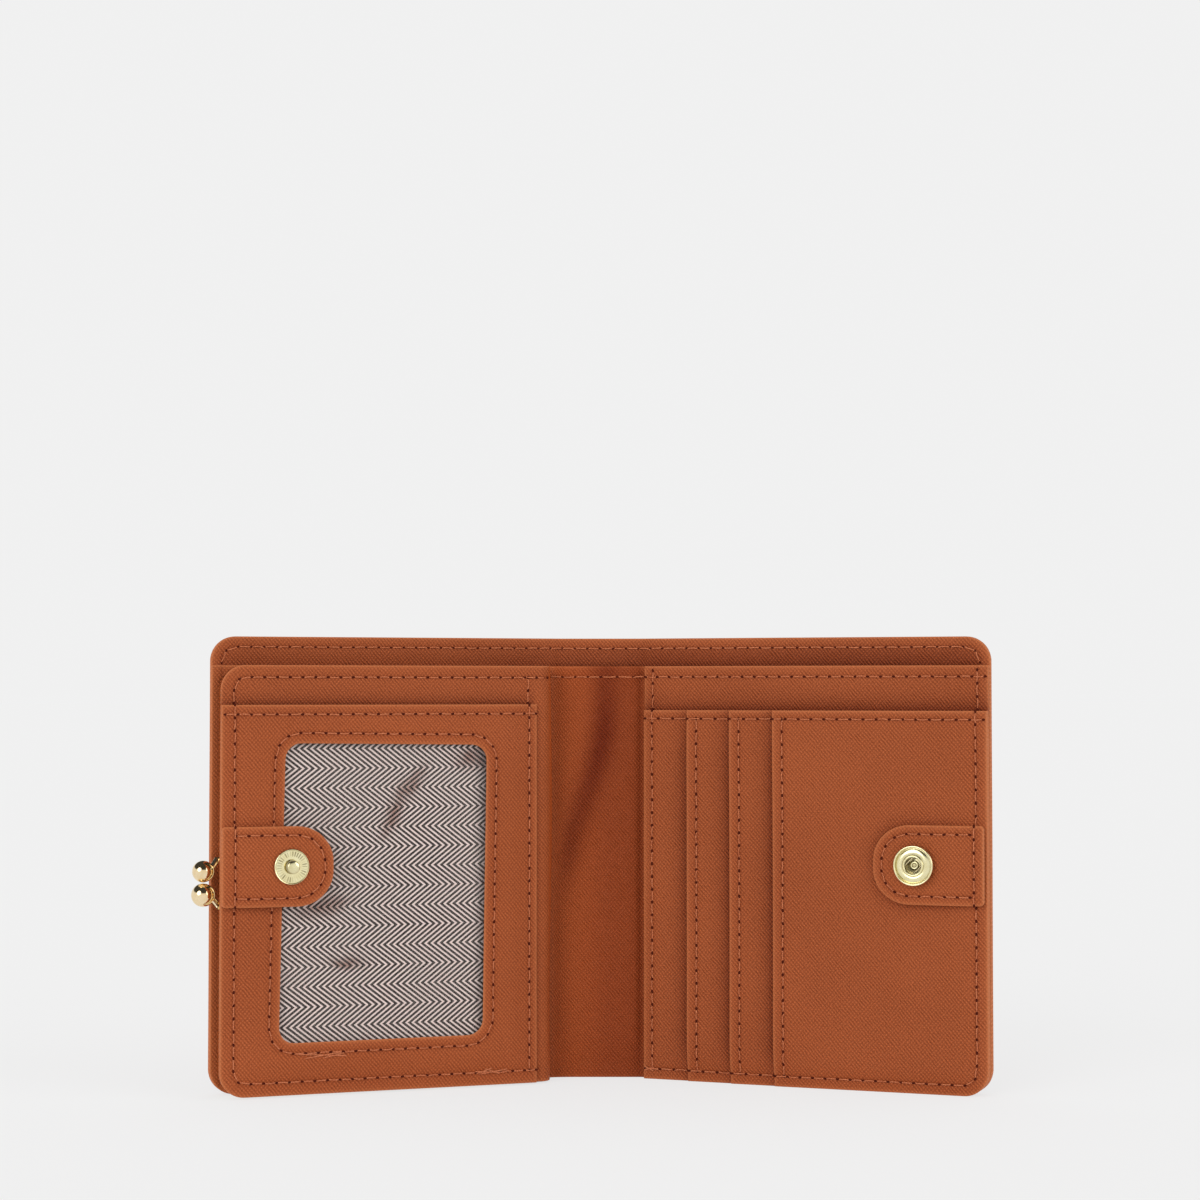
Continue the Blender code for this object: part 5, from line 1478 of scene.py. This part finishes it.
def seamRuns(path, surface, place, outward=1.0):  # points on the leather under a path, parted where it steps
    u, z = sampled(path, sewing["sample"], 4)
    start = sewing["above"] if outward > 0 else sewing["below"]
    above = place(u, z, np.full(u.shape, start))
    aim = place(u, z, np.full(u.shape, start - outward * mm)) - above
    aim = aim / np.linalg.norm(aim, axis=1)[:, None]
    runs, last = [[]], None
    for origin, way in zip(above, aim):
        spot, _, _, far = surface.ray_cast(Vector(origin), Vector(way), sewing["reach"])
        if spot is None or (last is not None and abs(far - last) > sewing["jump"]):
            runs.append([])
        last = far
        if spot is not None:
            runs[-1].append((np.array(spot) - way * sewing["onTop"], -way))
    return [(np.array([spot for spot, _ in run]), np.array([way for _, way in run])) for run in runs if len(run) > 4]


def allRuns(paths, surface, place, outward=1.0):
    return [run for path in paths for run in seamRuns(path, surface, place, outward)]


def sew(name, runs, pitch=stitch["pitch"], hole=stitch["hole"]):
    mesh = bpy.data.meshes.new(name)
    points = np.concatenate([run[0] for run in runs])
    normals = np.concatenate([run[1] for run in runs]).astype(np.float32)
    edges, first = [], 0
    for run in runs:
        edges += [(first + number, first + number + 1) for number in range(len(run[0]) - 1)]
        first += len(run[0])
    mesh.from_pydata(points.tolist(), edges, [])
    mesh.attributes.new("outward", "FLOAT_VECTOR", "POINT").data.foreach_set("vector", normals.ravel())
    source = addObject(name + "_path", mesh)
    modifier = source.modifiers.new("stitches", "NODES")
    modifier.node_group = stitches
    values = {"Pitch": pitch, "Thread Radius": stitch["thread"], "Hole Radius": hole, "Rise": stitch["rise"],
              "Drop": stitch["drop"], "Seed": stitch["seed"], "Thread": thread, "Hole": holeShadeFinish}
    for item in stitches.interface.items_tree:
        if item.in_out == "INPUT" and item.name in values:
            modifier[item.identifier] = values[item.name]
    bpy.context.view_layer.update()
    evaluated = source.evaluated_get(bpy.context.evaluated_depsgraph_get())
    made = bpy.data.meshes.new_from_object(evaluated)
    bpy.data.objects.remove(source, do_unlink=True)
    for mark in ("along", "outward", "pierced"):
        if mark in made.attributes:
            made.attributes.remove(made.attributes[mark])
    made.name = name
    return finishMesh(name, made, thread, sewing["sharp"])


def clipped(path, keep):
    runs, current = [], []
    for point in zip(*sampled(path, sewing["clipSample"])):
        if keep(*point):
            current.append(point)
        elif current:
            runs.append(current)
            current = []
    if current:
        runs.append(current)
    return [run for run in runs if len(run) > 6]


def sewWall():
    edge = perimeter(cover["stitch"])
    for part in ("left", "right"):
        outside, linen, front = wallPieces[part]

        def mine(s, z):
            return s <= spineMiddle if part == "left" else s >= spineMiddle

        def aboveDivider(s, z):
            return mine(s, z) and z > wallet["dividerTop"] + 0.6 * mm

        def besidePurse(s, z):
            return s < wallStart + 8.0 * mm and 2.0 * mm < z < wallet["dividerTop"] - 4.0 * mm

        runs = allRuns(clipped(edge, mine), surfaceOf([outside]), onWall, -1.0)
        blendWall(sew("cover_stitches_" + part, runs), part, **cover["reach"])
        paths = clipped(edge, aboveDivider) + clipped(dividerSeam(), mine)
        if part == "left":
            paths += clipped(edge, besidePurse)
        runs = allRuns(paths, surfaceOf([linen, front]), onWall)
        blendWall(sew("lining_stitches_" + part, runs, hole=stitch["liningHole"]), part, **lining["reach"])


def sewOn(name, seams, pieces, place, pitch=stitch["pitch"]):
    return sew(name, allRuns(seams, surfaceOf(pieces), place), pitch)


# Loose ends of thread where seams were finished, from and to in mm
tacks = {"leaf": (((24.5, 3.9), (17.0, 3.4)), ((23.6, 3.2), (16.6, 4.2)), ((22.0, 4.5), (18.4, 3.2)),
                  ((24.2, 3.4), (20.4, 4.6)), ((68.5, 10.2), (57.0, 9.4)), ((67.0, 9.2), (58.2, 10.3)),
                  ((62.6, 9.1), (57.6, 10.1))),
         "card": (((1.1, 2.2), (3.6, 2.9)), ((1.2, 3.1), (3.4, 2.1)), ((1.4, 2.7), (4.6, 2.5)))}


def makeTacks(name, strands, pieces, place, body):
    surface = surfaceOf(pieces)
    parts = []
    for number, strand in enumerate(strands):
        for spots, ways in seamRuns([(u * mm, z * mm) for u, z in strand], surface, place)[:1]:
            share = np.linspace(0.0, 1.0, len(spots))
            lift = (0.05 + 0.16 * np.abs(np.sin(math.pi * share * (1 + number % 3)))) * mm
            parts.append(tube(spots + ways * lift[:, None], stitch["thread"], 6))
    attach(meshPiece(name, parts, thread, sewing["sharp"]), body)


sewWall()
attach(sewOn("card_stitches", cardSeams(), cardPieces, onRight), "front_half")
blendFold(sewOn("leaf_stitches", leafSeams(), leafPieces, onLeft, stitch["leafPitch"]))
for kind, face in tabFaces.items():
    strap = sewOn(kind + "_strap_stitches", tabSeam(kind), [face], tabKinds[kind]["place"], stitch["tabPitch"])
    blendTab(kind, strap)
makeTacks("leaf_thread_ends", tacks["leaf"], leafPieces, onLeft, "purse_front")
makeTacks("card_thread_ends", tacks["card"], cardPieces, onRight, "front_half")
print("wallet: stitches made")
